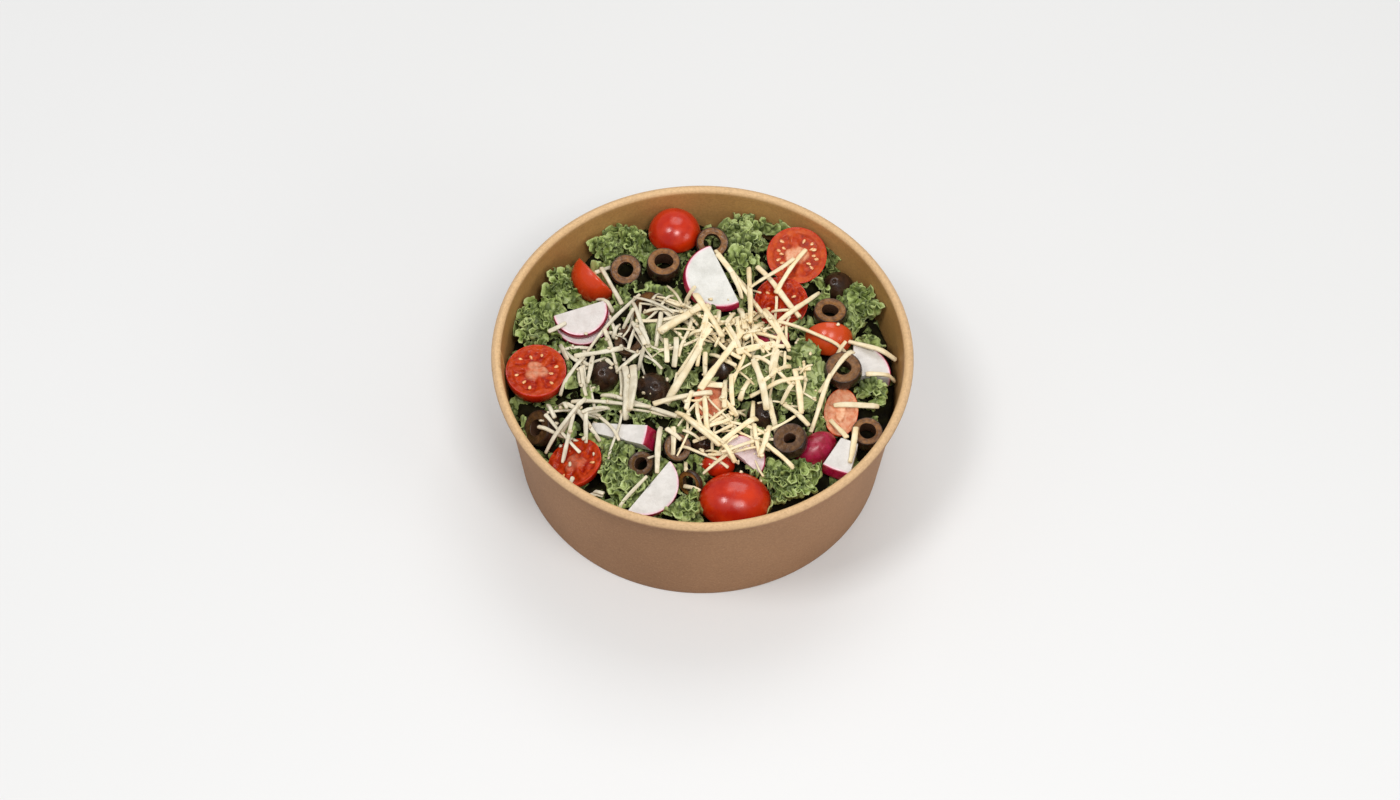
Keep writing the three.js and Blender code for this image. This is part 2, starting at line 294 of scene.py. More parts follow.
# %% [markdown]
# ## A finish from parts
# Every material here is one Principled shader. What changes over the surface, its colour,
# roughness and bumps, comes in as nodes, and what is the same all over is set on the shader.
# `clouded`, `damp` and `bumps` place one of the shared effects in a tree, each with a scale:
# the larger that is, the finer the effect.

# %% Make a finish
def new_finish(name):
    material = bpy.data.materials.new(name)
    material.use_nodes = True
    return material, material.node_tree, material.node_tree.nodes["Principled BSDF"]


def dress(tree, shader, colour, roughness, height=None, depth=0.1, **constants):
    """Wires a finish. The depth of its bumps is in mm; the constants are the shader's own."""
    plug(tree, colour, shader.inputs["Base Color"])
    plug(tree, roughness, shader.inputs["Roughness"])
    if height is not None:
        bump = add_node(tree, "Bump", {"Height": height, "Distance": depth * MM, "Strength": 1.0})
        plug(tree, bump.outputs["Normal"], shader.inputs["Normal"])
    for title, value in constants.items():
        shader.inputs[title.replace("_", " ")].default_value = value


def clouded(tree, scale, contrast, dark, light):
    """A colour that clouds between two screen colours."""
    return use_group(tree, mottle, Vector=place_in_space(tree), Scale=scale, Contrast=contrast,
                     Dark=srgb(*dark), Light=srgb(*light))["Color"]


def damp(tree, scale, wet, dry):
    """A roughness that lies between wet and dry in patches."""
    return use_group(tree, moisture, Vector=place_in_space(tree), Scale=scale, Wet=wet,
                     Dry=dry)["Roughness"]


def bumps(tree, scale):
    return use_group(tree, grain, Vector=place_in_space(tree), Scale=scale)["Height"]


floor_finish, tree, shader = new_finish("studio_floor")
dress(tree, shader, clouded(tree, 0.9, 1.5, (225, 225, 224), (232, 232, 232)), 0.9)
floor.data.materials.append(floor_finish)


# %% [markdown]
# ## Small tools for shapes
# Most pieces are grids of points: rings stacked along an axis, or a leaf from its rib to its
# margin. numpy works a whole grid out at once. `Gather` collects grids into one mesh, with a
# finish for each face and named numbers for each vertex that the materials read.

# %% Shape helpers
def grid_faces(rows, columns, wrap_rows=False, wrap_columns=True):
    """Quads between the points of a grid. They face outwards when rows climb the axis and
    columns go anticlockwise round it."""
    cell = np.arange(rows * columns).reshape(rows, columns)
    if wrap_columns:
        cell = np.concatenate([cell, cell[:, :1]], axis=1)
    if wrap_rows:
        cell = np.concatenate([cell, cell[:1]], axis=0)
    return np.stack([cell[:-1, :-1], cell[:-1, 1:], cell[1:, 1:], cell[1:, :-1]], -1).reshape(-1, 4)


def skin_over(rings):
    """A closed surface over rings of points. Each end closes on a point in the ring's middle."""
    rows, columns = rings.shape[:2]
    points = np.concatenate([rings.reshape(-1, 3), rings[:1].mean(1), rings[-1:].mean(1)])
    first = np.arange(columns)
    last = first + (rows - 1) * columns
    start = np.stack([np.roll(first, -1), first, np.full(columns, rows * columns)], -1)
    end = np.stack([last, np.roll(last, -1), np.full(columns, rows * columns + 1)], -1)
    return points, grid_faces(rows, columns), start, end


def with_ends(values):
    """A number for each point of skin_over, from a grid of one for each point of its rings."""
    return np.concatenate([values.ravel(), values[:1].mean(1), values[-1:].mean(1)])


def full_turn(columns):
    """A row of angles once round, without the last, which would meet the first."""
    return np.linspace(0, 2 * math.pi, columns, endpoint=False)[None, :]


def turned_about_axis(radius, turn, height):
    """Rings of points about +Z from their radii, angles and heights."""
    return np.stack([radius * np.cos(turn), radius * np.sin(turn), height + 0 * turn], -1)


def normals_of(grid):
    """Unit normals of a grid of points, which is open at its edges."""
    normal = np.cross(np.gradient(grid, axis=1), np.gradient(grid, axis=0))
    return normal / np.maximum(np.linalg.norm(normal, axis=-1, keepdims=True), 1e-9)


def smooth(low, high, value):
    """0 below low, 1 above high, and an S-shaped rise between."""
    share = np.clip((value - low) / (high - low), 0, 1)
    return share * share * (3 - 2 * share)


class Gather:
    """Points, faces and traits that become one piece."""

    def __init__(self, *traits):
        self.points, self.faces, self.finishes = [], [], []
        self.traits = {name: [] for name in traits}
        self.count = 0

    def add(self, points, *faces, finish=0, **traits):
        """Finish is a number for all faces, or one for each."""
        faces = [part for part in faces if len(part)]
        self.points.append(points)
        self.faces += [part + self.count for part in faces]
        self.finishes.append(np.broadcast_to(finish, sum(len(part) for part in faces)))
        for name, values in self.traits.items():
            values.append(np.broadcast_to(traits.get(name, 0.0), len(points)))
        self.count += len(points)

    def piece(self, name, slot, materials, *nodes):
        """The mesh object: it rides on the root body and stands for the CAD nodes."""
        mesh = bpy.data.meshes.new(name)
        points = np.concatenate(self.points) * MM
        corners = np.concatenate([part.ravel() for part in self.faces])
        sizes = np.concatenate([np.full(len(part), part.shape[1]) for part in self.faces])
        mesh.vertices.add(len(points))
        mesh.vertices.foreach_set("co", points.astype(np.float32).ravel())
        mesh.loops.add(len(corners))
        mesh.loops.foreach_set("vertex_index", corners.astype(np.int32))
        mesh.polygons.add(len(sizes))
        mesh.polygons.foreach_set("loop_start", (np.cumsum(sizes) - sizes).astype(np.int32))
        mesh.polygons.foreach_set("material_index", np.concatenate(self.finishes).astype(np.int32))
        mesh.polygons.foreach_set("use_smooth", np.ones(len(sizes), bool))
        for trait_name, values in self.traits.items():
            layer = mesh.attributes.new(trait_name, "FLOAT", "POINT")
            layer.data.foreach_set("value", np.concatenate(values).astype(np.float32))
        mesh.update(calc_edges=True)
        mesh.validate()
        for material in materials:
            mesh.materials.append(material)
        made = bpy.data.objects.new(name, mesh)
        bpy.context.scene.collection.objects.link(made)
        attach(made, "root")
        if nodes:
            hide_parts(*nodes)
        return made


def triangle_count(piece):
    return sum(len(face.vertices) - 2 for face in piece.data.polygons)


def node_points(node):
    """The corners of a CAD node, in mm."""
    return np.array([vertex.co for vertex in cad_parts[node].data.vertices]) / MM


print("tools ready;", sum(1 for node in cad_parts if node.startswith("tomato")), "tomato nodes")

# %% [markdown]
# ## The paper bowl
# A kraft salad bowl is made from two blanks. The wall is a curved strip glued into a cone, so
# somewhere it has a lapped seam. Its top edge is rolled outwards into a bead, and its bottom
# edge is folded in over the flange of the bottom disc and knurled to grip it. The section is
# turned about the axis, like a lathe would, and the seam, the knurling and the slight waves of
# the rim move its points. The driving sizes are measured on the CAD bowl.

# %% Bowl sizes
bowl_points = node_points("bowl")
bowl_radii = np.hypot(bowl_points[:, 0], bowl_points[:, 1])
RIM_RADIUS = bowl_radii.max()
BOWL_HEIGHT = bowl_points[:, 2].max()
FOOT_RADIUS = bowl_radii[bowl_points[:, 2] < 1].max()
MOUTH_RADIUS = bowl_radii[bowl_points[:, 2] > 0.9 * BOWL_HEIGHT].min()
BEAD_RADIUS = (RIM_RADIUS - MOUTH_RADIUS) / 2
PAPER = 0.6  # mm thick
FOOT_RING_RADIUS = bowl_radii[(bowl_points[:, 2] < 1) & (bowl_radii > 1)].min()
BOTTOM_UNDER = bowl_points[bowl_radii < 1, 2].min()
BOTTOM_TOP = bowl_points[bowl_radii < 1, 2].max()
bead_height = BOWL_HEIGHT - BEAD_RADIUS


def wall_inside(height):
    """Inner radius of the wall at a height."""
    foot_inside = FOOT_RADIUS - PAPER
    return foot_inside + (MOUTH_RADIUS - foot_inside) * height / bead_height


print("bowl: rim radius", round(RIM_RADIUS, 2), "foot", round(FOOT_RADIUS, 2),
      "height", round(BOWL_HEIGHT, 2), "bead", round(BEAD_RADIUS, 2))

# %% Bowl section
BEAD_STEPS = 22
BEAD_START = -138  # degrees round the bead, where the wall runs into it
WALL_STEPS = 20
BOTTOM_STEPS = (0.5, 30, 60, 75)  # mm from the axis
FOOT_STEPS = (5.2, 4.4, 3.6, 2.8, 2.0, 1.2, 0.5)  # mm above the table
wall_slope = math.atan2(MOUTH_RADIUS - FOOT_RADIUS + PAPER, bead_height)

section = [(step, BOTTOM_UNDER) for step in BOTTOM_STEPS]
section += [(FOOT_RING_RADIUS - 0.5, BOTTOM_UNDER), (FOOT_RING_RADIUS - 0.1, BOTTOM_UNDER - 0.3)]
section += [(FOOT_RING_RADIUS, step) for step in FOOT_STEPS]
section += [(FOOT_RING_RADIUS + 0.35, 0.05), (FOOT_RADIUS - 0.6, 0.0), (FOOT_RADIUS - 0.15, 0.12)]
outside_start = len(section)
for height in np.linspace(0.5, bead_height - BEAD_RADIUS, WALL_STEPS):
    section.append((wall_inside(height) + PAPER, height))
bead_start = len(section)
for angle in np.radians(np.linspace(BEAD_START, 180, BEAD_STEPS)):
    section.append((RIM_RADIUS - BEAD_RADIUS + BEAD_RADIUS * math.cos(angle),
                    bead_height + BEAD_RADIUS * math.sin(angle)))
inside_start = len(section)
for height in np.linspace(bead_height - 1.5, BOTTOM_TOP + 1.2, WALL_STEPS):
    section.append((wall_inside(height), height))
section += [(wall_inside(BOTTOM_TOP) - 0.35, BOTTOM_TOP + 0.3), (wall_inside(BOTTOM_TOP) - 1.2, BOTTOM_TOP)]
section += [(step, BOTTOM_TOP) for step in BOTTOM_STEPS[-2::-1]]
section = np.array(section)
print("bowl section:", len(section), "points, wall leans out", round(math.degrees(wall_slope), 1), "degrees")

# %% Turn the bowl
BOWL_COLUMNS = 216
SEAM_WIDTH = 9.0  # mm of lap
SEAM_HEADING = math.radians(181)  # on the left, where a tomato stands before it
KNURL_PITCH = 2.2
KNURL_DEPTH = 0.14
LAP_NEAR, LAP_FAR = 2, 14  # mm from the lap's edge, between which its step fades out
STEP_OUT, STEP_ON_BEAD, STEP_IN = 0.4, 0.1, 0.22  # mm
RIM_WAVE_IN, RIM_WAVE_DOWN = 0.25, 0.3  # mm
BEAD_TUCK = 0.12

seam_edges = np.array([-0.08, 0.0, SEAM_WIDTH, SEAM_WIDTH + 0.08]) / FOOT_RADIUS
around = np.linspace(-math.pi, math.pi, BOWL_COLUMNS, endpoint=False)
around = np.sort(np.concatenate([around, seam_edges]))
steps = np.concatenate([[0], np.cumsum(np.hypot(*np.diff(section, axis=0).T))])
index = np.arange(len(section))[:, None]

from_seam = around * FOOT_RADIUS  # mm round the wall, from the seam
lap_outside = smooth(-LAP_FAR, -LAP_NEAR, from_seam) * (from_seam <= SEAM_WIDTH)
lap_inside = smooth(SEAM_WIDTH + LAP_FAR, SEAM_WIDTH + LAP_NEAR, from_seam) * (from_seam >= 0)
radius = np.repeat(section[:, :1], len(around), axis=1)
height = np.repeat(section[:, 1:], len(around), axis=1)
on_outside = (index >= outside_start) & (index < bead_start)
on_bead = (index >= bead_start) & (index < inside_start)
on_inside = index >= inside_start
in_foot = (section[:, :1] < FOOT_RING_RADIUS + 0.1) & (height > 0.6) & (height < 5) & (index < outside_start)

wave = 0.5 + 0.25 * np.sin(3 * around + 0.6) + 0.25 * np.sin(5 * around + 2.1)
near_rim = smooth(0.55, 1.0, section[:, 1:] / BOWL_HEIGHT) * (section[:, :1] > 70)
radius += STEP_OUT * lap_outside * on_outside + STEP_ON_BEAD * lap_outside * on_bead
radius -= STEP_IN * lap_inside * on_inside * (section[:, :1] > 75)
radius -= RIM_WAVE_IN * wave * near_rim + BEAD_TUCK * on_bead
height -= RIM_WAVE_DOWN * wave * near_rim
radius += in_foot * KNURL_DEPTH * np.sin(2 * math.pi * from_seam / KNURL_PITCH)
turn = around + SEAM_HEADING
bowl_rings = turned_about_axis(radius, turn, height)

bowl = Gather("paper_around", "paper_along", "inside", "rim")
points, wall_faces, start, end = skin_over(bowl_rings)
around_grid = np.broadcast_to(from_seam, radius.shape)
along_grid = np.broadcast_to(steps[:, None], radius.shape)
inside_grid = np.broadcast_to(smooth(-0.5, 0.5, index - inside_start + BEAD_STEPS * 0.35), radius.shape)
# Painted highlight: a mask over the top of the bead, which the finish paints paler.
bead_highlight_grid = smooth(-2.6, -1.2, height - BOWL_HEIGHT) * on_bead
bowl.add(points, wall_faces, start, end, paper_around=with_ends(around_grid) / 1000,
         paper_along=with_ends(along_grid) / 1000, inside=with_ends(inside_grid * 1.0),
         rim=with_ends(bead_highlight_grid))
print("bowl:", len(points), "points")

# %% [markdown]
# ## Kraft paper
# Kraft paper keeps the colour of wood. Close up it is full of fibres, a millimetre or two
# long, some darker and some lighter, that lie mostly along the machine's direction. A noise
# stretched along one direction gives such streaks, so the group `Fibres` lays two of them
# crosswise. It reads how far round and how far up the paper a point is, which the mesh carries,
# because streaks have to bend round the bowl with the sheet. The inside has a thin film against
# grease, so it is a little smoother and yellower there; it is also painted lighter than the
# outside, as painted light on the inner wall. The top of the rim's roll is painted paler still:
# that is a painted highlight.

# %% Fibres
fibres, given, result = new_group(
    "Fibres", [("Around", "Float", 0.0), ("Along", "Float", 0.0)],
    [("Dark", "Float"), ("Light", "Float"), ("Height", "Float")])


def streaks(scale_around, scale_along, shift):
    at = add_node(fibres, "CombineXYZ", {"Z": shift})
    plug(fibres, calculate(fibres, "MULTIPLY", given["Around"], scale_around), at.inputs["X"])
    plug(fibres, calculate(fibres, "MULTIPLY", given["Along"], scale_along), at.inputs["Y"])
    return add_node(fibres, "TexNoise", {"Vector": at.outputs[0], "Scale": 1.0, "Detail": 2.0,
                                         "Distortion": 0.6}).outputs["Fac"]


long_fibres = streaks(380, 2600, 0.0)
cross_fibres = streaks(2400, 700, 5.0)
plug(fibres, ramp(fibres, long_fibres, 0.56, 0.72), result["Dark"])
plug(fibres, ramp(fibres, cross_fibres, 0.58, 0.74), result["Light"])
plug(fibres, calculate(fibres, "ADD", long_fibres, cross_fibres), result["Height"])

# %% Kraft finish
kraft, tree, shader = new_finish("kraft_paper")
fibre = use_group(tree, fibres, Around=trait(tree, "paper_around"), Along=trait(tree, "paper_along"))
# The inside is painted lighter than the outside, as painted light on the inner wall; its yellower cast is
# the film.
outer = clouded(tree, 14, 1.6, (148, 106, 70), (166, 122, 84))
inner = clouded(tree, 18, 1.6, (178, 132, 74), (196, 150, 90))
inside = trait(tree, "inside")
paper = blend(tree, inside, outer, inner)
# The top of the bead is painted paler, as a painted highlight.
paper = blend(tree, calculate(tree, "MULTIPLY", trait(tree, "rim"), 0.62), paper, srgb(240, 204, 156))
specks = clouded(tree, 900, 2.4, (236, 234, 232), (255, 255, 255))
paper = blend(tree, calculate(tree, "MULTIPLY", fibre["Dark"], 0.30), paper, srgb(124, 84, 54))
paper = blend(tree, calculate(tree, "MULTIPLY", fibre["Light"], 0.25), paper, srgb(208, 168, 128))
speckled = blend(tree, 1.0, paper, specks, mode="MULTIPLY")
rough = calculate(tree, "MULTIPLY_ADD", inside, -0.22, 0.72)
dress(tree, shader, speckled, rough, height=fibre["Height"], depth=0.05)
paper_bowl = bowl.piece("paper_bowl", "kraft_paper", [kraft], "bowl")
print("paper_bowl:", triangle_count(paper_bowl), "triangles")

# %% [markdown]
# ## How each topping lies
# The CAD model has a plain solid for every topping, and each solid has flat faces where the
# knife went. The largest flat face tells which way the topping faces, so its own origin, axes
# and sizes can be measured instead of being copied. `Lie` keeps them and turns points from the
# topping's own space into the salad's. A fine topping then sits where the CAD one does.

# %% Measure the lie of a topping
class Lie:
    """A topping's own origin and axes, and its CAD corners as seen from there."""

    def __init__(self, node, origin, x_axis, z_axis):
        side = np.cross(z_axis, x_axis)
        side = side / np.linalg.norm(side)
        self.origin = origin
        self.axes = np.stack([np.cross(side, z_axis), side, z_axis])
        self.corners = (node_points(node) - origin) @ self.axes.T

    def world(self, points):
        return self.origin + points @ self.axes


def flat_faces(node):
    """The flat faces of a CAD node, largest first: for each its normal and its corners."""
    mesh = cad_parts[node].data
    points = node_points(node)
    normals = np.array([polygon.normal for polygon in mesh.polygons])
    areas = np.array([polygon.area for polygon in mesh.polygons])
    corners = [list(polygon.vertices) for polygon in mesh.polygons]
    waiting = np.ones(len(areas), bool)
    found = []
    while waiting.any():
        normal = normals[np.argmax(areas * waiting)]
        same = waiting & (normals @ normal > 0.9995)
        waiting &= ~same
        used = sorted({corner for face in np.flatnonzero(same) for corner in corners[face]})
        found.append((areas[same].sum(), normal, np.unique(points[used].round(4), axis=0)))
    found.sort(key=lambda face: -face[0])
    return [(normal, on_face) for _, normal, on_face in found]


def upward(flats):
    """The direction, pointing up, of the largest flat face that has an opposite one."""
    for k, (normal, _) in enumerate(flats):
        if any(normal @ other < -0.999 for other, _ in flats[k + 1:k + 3]):
            return normal if normal[2] > 0 else -normal
    raise ValueError("no two flat faces are opposite")


def dome_lie(node):
    """Cut face at z = 0 facing +Z, and the longer width along X."""
    normal, rim = flat_faces(node)[0]
    centre = rim.mean(0)
    longest = np.linalg.svd(rim - centre)[2][0]
    return Lie(node, centre, longest, normal)


def quarter_lie(node):
    """Cut faces at z = 0 facing +Z and at x = 0 facing -X, meeting on the Y axis."""
    (first, first_points), (second, second_points) = flat_faces(node)[:2]
    both = first_points[np.abs((first_points - second_points[0]) @ second) < 0.01]
    return Lie(node, (both.min(0) + both.max(0)) / 2, -second, first)


def ring_lie(node):
    flats = flat_faces(node)
    corners = np.unique(node_points(node).round(4), axis=0)
    return Lie(node, (corners.min(0) + corners.max(0)) / 2, np.array([1.0, 0, 0]), upward(flats))


def end_lie(node):
    """Cut face at z = 0 facing -Z, with the olive's end above it."""
    normal, rim = flat_faces(node)[0]
    return Lie(node, rim.mean(0), np.array([1.0, 0, 0]), -normal)


def slice_lie(node):
    """Half-round slice: the straight cut on the Y axis, the skin bulging to +X."""
    flats = flat_faces(node)
    up = upward(flats)
    across = next(face for face in flats if abs(face[0] @ up) < 0.01)
    return Lie(node, across[1].mean(0), -across[0], up)


def wedge_lie(node):
    """Wedge: the middle of its corner, or of its blunt end, at the origin, the skin facing +X."""
    flats = flat_faces(node)
    up = upward(flats)
    sides = [face for face in flats if abs(face[0] @ up) < 0.01][:2]
    toward_skin = -(sides[0][0] + sides[1][0])
    toward_skin = toward_skin / np.linalg.norm(toward_skin)
    inner_ends = []
    for _, on_side in sides:
        reach = on_side @ toward_skin
        inner_ends.append(on_side[reach < reach.min() + 0.01].mean(0))
    return Lie(node, np.mean(inner_ends, 0), toward_skin, up)


def nodes_named(kind):
    return sorted((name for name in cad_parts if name.startswith(kind)),
                  key=lambda name: int(name.rsplit("_", 1)[1]))


lie = {"tomato_half": dome_lie, "tomato_quarter": quarter_lie, "olive_ring": ring_lie,
       "olive_end": end_lie, "radish_slice": slice_lie, "radish_wedge": wedge_lie,
       "radish_half": dome_lie}
lies = {name: measure(name) for kind, measure in lie.items() for name in nodes_named(kind)}
print("toppings measured:", len(lies))


def fit_error(piece, node):
    """How far, in mm, the piece's box is from its CAD node's box at most."""
    points = np.array([vertex.co for vertex in piece.data.vertices]) / MM
    low, high = (np.array(corner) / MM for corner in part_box(node))
    return max(np.abs(points.min(0) - low).max(), np.abs(points.max(0) - high).max())


def print_fit(piece, node):
    print(piece.name, "fit", round(fit_error(piece, node), 2), "mm")


# %% [markdown]
# ## Unevenness
# No two tomatoes or slices are alike. A few sine waves with random phases make a smooth
# wandering line, and it is added to radii and heights. The random numbers come from one seeded
# generator, so every run of the lesson makes the same salad.

# %% Wandering lines
chance = np.random.default_rng(11)


def wander(share, reach, waves=4):
    """A smooth random line along share, from 0 to 1, that stays within about +-reach. It meets
    itself at the ends."""
    line = np.zeros_like(share, dtype=float)
    for wave in range(1, waves + 1):
        line += np.sin(2 * math.pi * (wave * share + chance.random())) * chance.uniform(0.4, 1) / wave
    return reach * line / 1.6


def lumps(points, size, height):
    """Soft random bumps in space, for points given in mm."""
    total = np.zeros(points.shape[:-1])
    for _ in range(5):
        heading = chance.normal(size=3)
        heading = heading / np.linalg.norm(heading)
        total += np.sin(points @ heading * 2 * math.pi / (size * chance.uniform(0.7, 1.4))
                        + chance.uniform(0, 2 * math.pi))
    return total * height / 2.5


# %% [markdown]
# ## Tomato, cut open
# Across a cherry tomato there is a firm outer wall, a pale core, and walls from the core to the
# outside that part two or three chambers. A chamber holds jelly, and flat pale seeds sit in the
# jelly round the core. `tomato_inside` gives, for any place on the cut face, how deep it lies
# and how much of it is jelly or core. The skin below is a smooth dome with a faint dimple.

# %% Tomato face
def tomato_inside(across, angle, chambers, turn):
    """Relief in mm, jelly and core on a cut face. Across is 0 in the middle and 1 at the skin."""
    mid_chamber = np.abs(np.sin((angle - turn) * chambers / 2))
    wall = smooth(0.82, 0.74, across + 0.02 * np.sin(7 * angle))
    septum = smooth(0.07, 0.19, across * mid_chamber)
    core_edge = 0.17 + 0.19 * mid_chamber + 0.02 * np.sin(5 * angle + 1)
    jelly = wall * septum * smooth(core_edge, core_edge + 0.09, across)
    core = smooth(core_edge + 0.16, core_edge - 0.06, across)
    relief = -0.85 * jelly + 0.18 * core + 0.1 * np.sin(9 * angle + 6 * across) * across * (1 - jelly)
    return relief, jelly, core


SEED_ROWS = (0.66, 0.53)  # shares of the radius
SEED_SIZE = (2.3, 1.4, 0.8)  # mm long, wide and thick


def seed_places(chambers, turn, each):
    """Share of the radius and angle of every seed: two staggered rows round each chamber."""
    places = []
    for chamber in range(chambers):
        middle = turn + (chamber + 0.5) * 2 * math.pi / chambers
        spread = 2 * math.pi / chambers * 0.68
        for k in range(each):
            share = SEED_ROWS[k % 2]
            offset = ((k + 0.5) / each - 0.5) * spread
            places.append((share + chance.uniform(-0.05, 0.05),
                           middle + offset + chance.uniform(-0.09, 0.09)))
    return places


def seed_shape(length, width, thickness):
    """A flat pointed seed, lying along X, as rings from its blunt end to its tip."""
    rows, columns = 9, 12
    along = np.linspace(0.06, 0.96, rows)[:, None]
    angle = full_turn(columns)
    girth = np.sin(math.pi * along ** 0.8) ** 0.7
    return np.stack([length * (along - 0.5) + 0 * angle, width / 2 * girth * np.cos(angle),
                     thickness / 2 * girth * np.sin(angle)], -1)


print("seed rings:", seed_shape(*SEED_SIZE).shape)

# %% Tomato finishes
tomato_skin, tree, shader = new_finish("tomato_skin")
skin = clouded(tree, 90, 1.8, (168, 18, 2), (208, 52, 8))
ripe = blend(tree, trait(tree, "tone"), skin, srgb(212, 82, 30))
wet = damp(tree, 260, 0.18, 0.34)
pores = bumps(tree, 1300)
dress(tree, shader, ripe, wet, height=pores, depth=0.02,
      Specular_IOR_Level=0.4, Coat_Weight=0.22, Coat_Roughness=0.2)

tomato_flesh, tree, shader = new_finish("tomato_flesh")
wall_colour = clouded(tree, 260, 2.4, (174, 38, 2), (204, 82, 20))
jelly_colour = clouded(tree, 420, 2.6, (138, 16, 0), (188, 56, 4))
pale_colour = clouded(tree, 500, 2.2, (220, 138, 96), (242, 194, 156))
flesh = blend(tree, trait(tree, "core"), wall_colour, pale_colour)
flesh = blend(tree, trait(tree, "jelly"), flesh, jelly_colour)
flesh = blend(tree, trait(tree, "tone"), flesh, pale_colour)
wet = damp(tree, 500, 0.24, 0.5)
fibrous = bumps(tree, 900)
dress(tree, shader, flesh, wet, height=fibrous, depth=0.14,
      Specular_IOR_Level=0.15, Coat_Weight=0.1, Coat_Roughness=0.1)

tomato_seed, tree, shader = new_finish("tomato_seed")
seed_colour = clouded(tree, 700, 2.0, (216, 138, 78), (242, 200, 142))
dress(tree, shader, seed_colour, 0.22, Coat_Weight=0.6, Coat_Roughness=0.1)
print("tomato finishes:", tomato_skin.name, tomato_flesh.name, tomato_seed.name)

# %% [markdown]
# ## Halved fruit
# A half is one closed surface: rings from the bottom of the dome up to the cut edge, then
# across the cut face to its middle. The dome's curve is the CAD solid's, only finer. The seeds
# are closed shapes of their own, pressed into the jelly with their points towards the core.

# %% Half of a round fruit
HALF_COLUMNS = 72
DOME_ROWS = 18
FACE_ROWS = 26
HALF_UNEVEN = 0.15  # mm


def half_sizes(corners):
    """Half widths at the widest, depth, and by how many radians the cut went past the widest."""
    long, wide, depth = np.abs(corners[:, 0]).max(), np.abs(corners[:, 1]).max(), -corners[:, 2].min()
    round_reach = np.hypot(corners[:, 0], corners[:, 1]).max()
    if abs(long - wide) < 0.03 * wide + 0.35:
        long = wide = round_reach
    at_cut = np.hypot(corners[:, 0] / long, corners[:, 1] / wide)[corners[:, 2] > -0.01].max()
    return long, wide, depth, math.acos(min(at_cut, 1.0))


def half_fruit(corners, inside, dimple=0.1):
    """A half with its cut face up: its rings, whether each face is flesh, the inside's traits
    and the edge of the cut."""
    long, wide, depth, past = half_sizes(corners)
    turn = full_turn(HALF_COLUMNS)
    fall = np.linspace(math.pi / 2 - 0.04, -past, DOME_ROWS)[:, None]
    start = math.sin(past)
    drop = depth * (np.sin(fall) + start) / (1 + start)
    girth = np.cos(fall) * (1 + wander(turn / (2 * math.pi), HALF_UNEVEN / long, 3) * np.cos(fall))
    pit = dimple * np.exp(-((math.pi / 2 - fall) / 0.22) ** 2)
    dome = np.stack([long * girth * np.cos(turn), wide * girth * np.sin(turn), pit - drop + 0 * turn], -1)
    across = np.concatenate([[0.992, 0.97, 0.94], np.linspace(0.9, 0.04, FACE_ROWS - 3)])[:, None]
    relief, jelly, core = inside(across, turn)
    edge = dome[-1]
    face = edge[None] * across[..., None]
    face[..., 2] = relief * smooth(1.0, 0.9, across)
    rings = np.concatenate([dome, face])
    on_face = np.arange(len(rings))[:, None] >= DOME_ROWS
    pad = np.zeros((DOME_ROWS, HALF_COLUMNS))
    traits = {"jelly": with_ends(np.concatenate([pad, jelly + 0 * turn])),
              "core": with_ends(np.concatenate([pad, core + 0 * turn]))}
    flesh_rows = np.repeat(on_face[:-1, 0] & (np.arange(len(rings) - 1) > DOME_ROWS), HALF_COLUMNS)
    caps = np.repeat([False, True], HALF_COLUMNS)
    return rings, np.concatenate([flesh_rows, caps]), traits, edge


SEED_FLOOR = -0.7  # mm, the height of the jelly that the seeds lie in


def add_seeds(gather, lie_of, edge, places, floor_depth):
    """Seeds on the cut face: each lies along its own radius, its point to the core."""
    for share, angle in places:
        rim = edge[int(angle / (2 * math.pi) * len(edge)) % len(edge)]
        rings = seed_shape(*(chance.uniform(0.85, 1.15, 3) * SEED_SIZE))
        heading = angle + math.pi + chance.uniform(-0.35, 0.35)
        turned = rings.copy()
        turned[..., 0] = rings[..., 0] * math.cos(heading) - rings[..., 1] * math.sin(heading)
        turned[..., 1] = rings[..., 0] * math.sin(heading) + rings[..., 1] * math.cos(heading)
        turned += rim * share
        turned[..., 2] += floor_depth - rim[2] * share + 0.12
        points, *faces = skin_over(lie_of.world(turned))
        gather.add(points, *faces, finish=2)


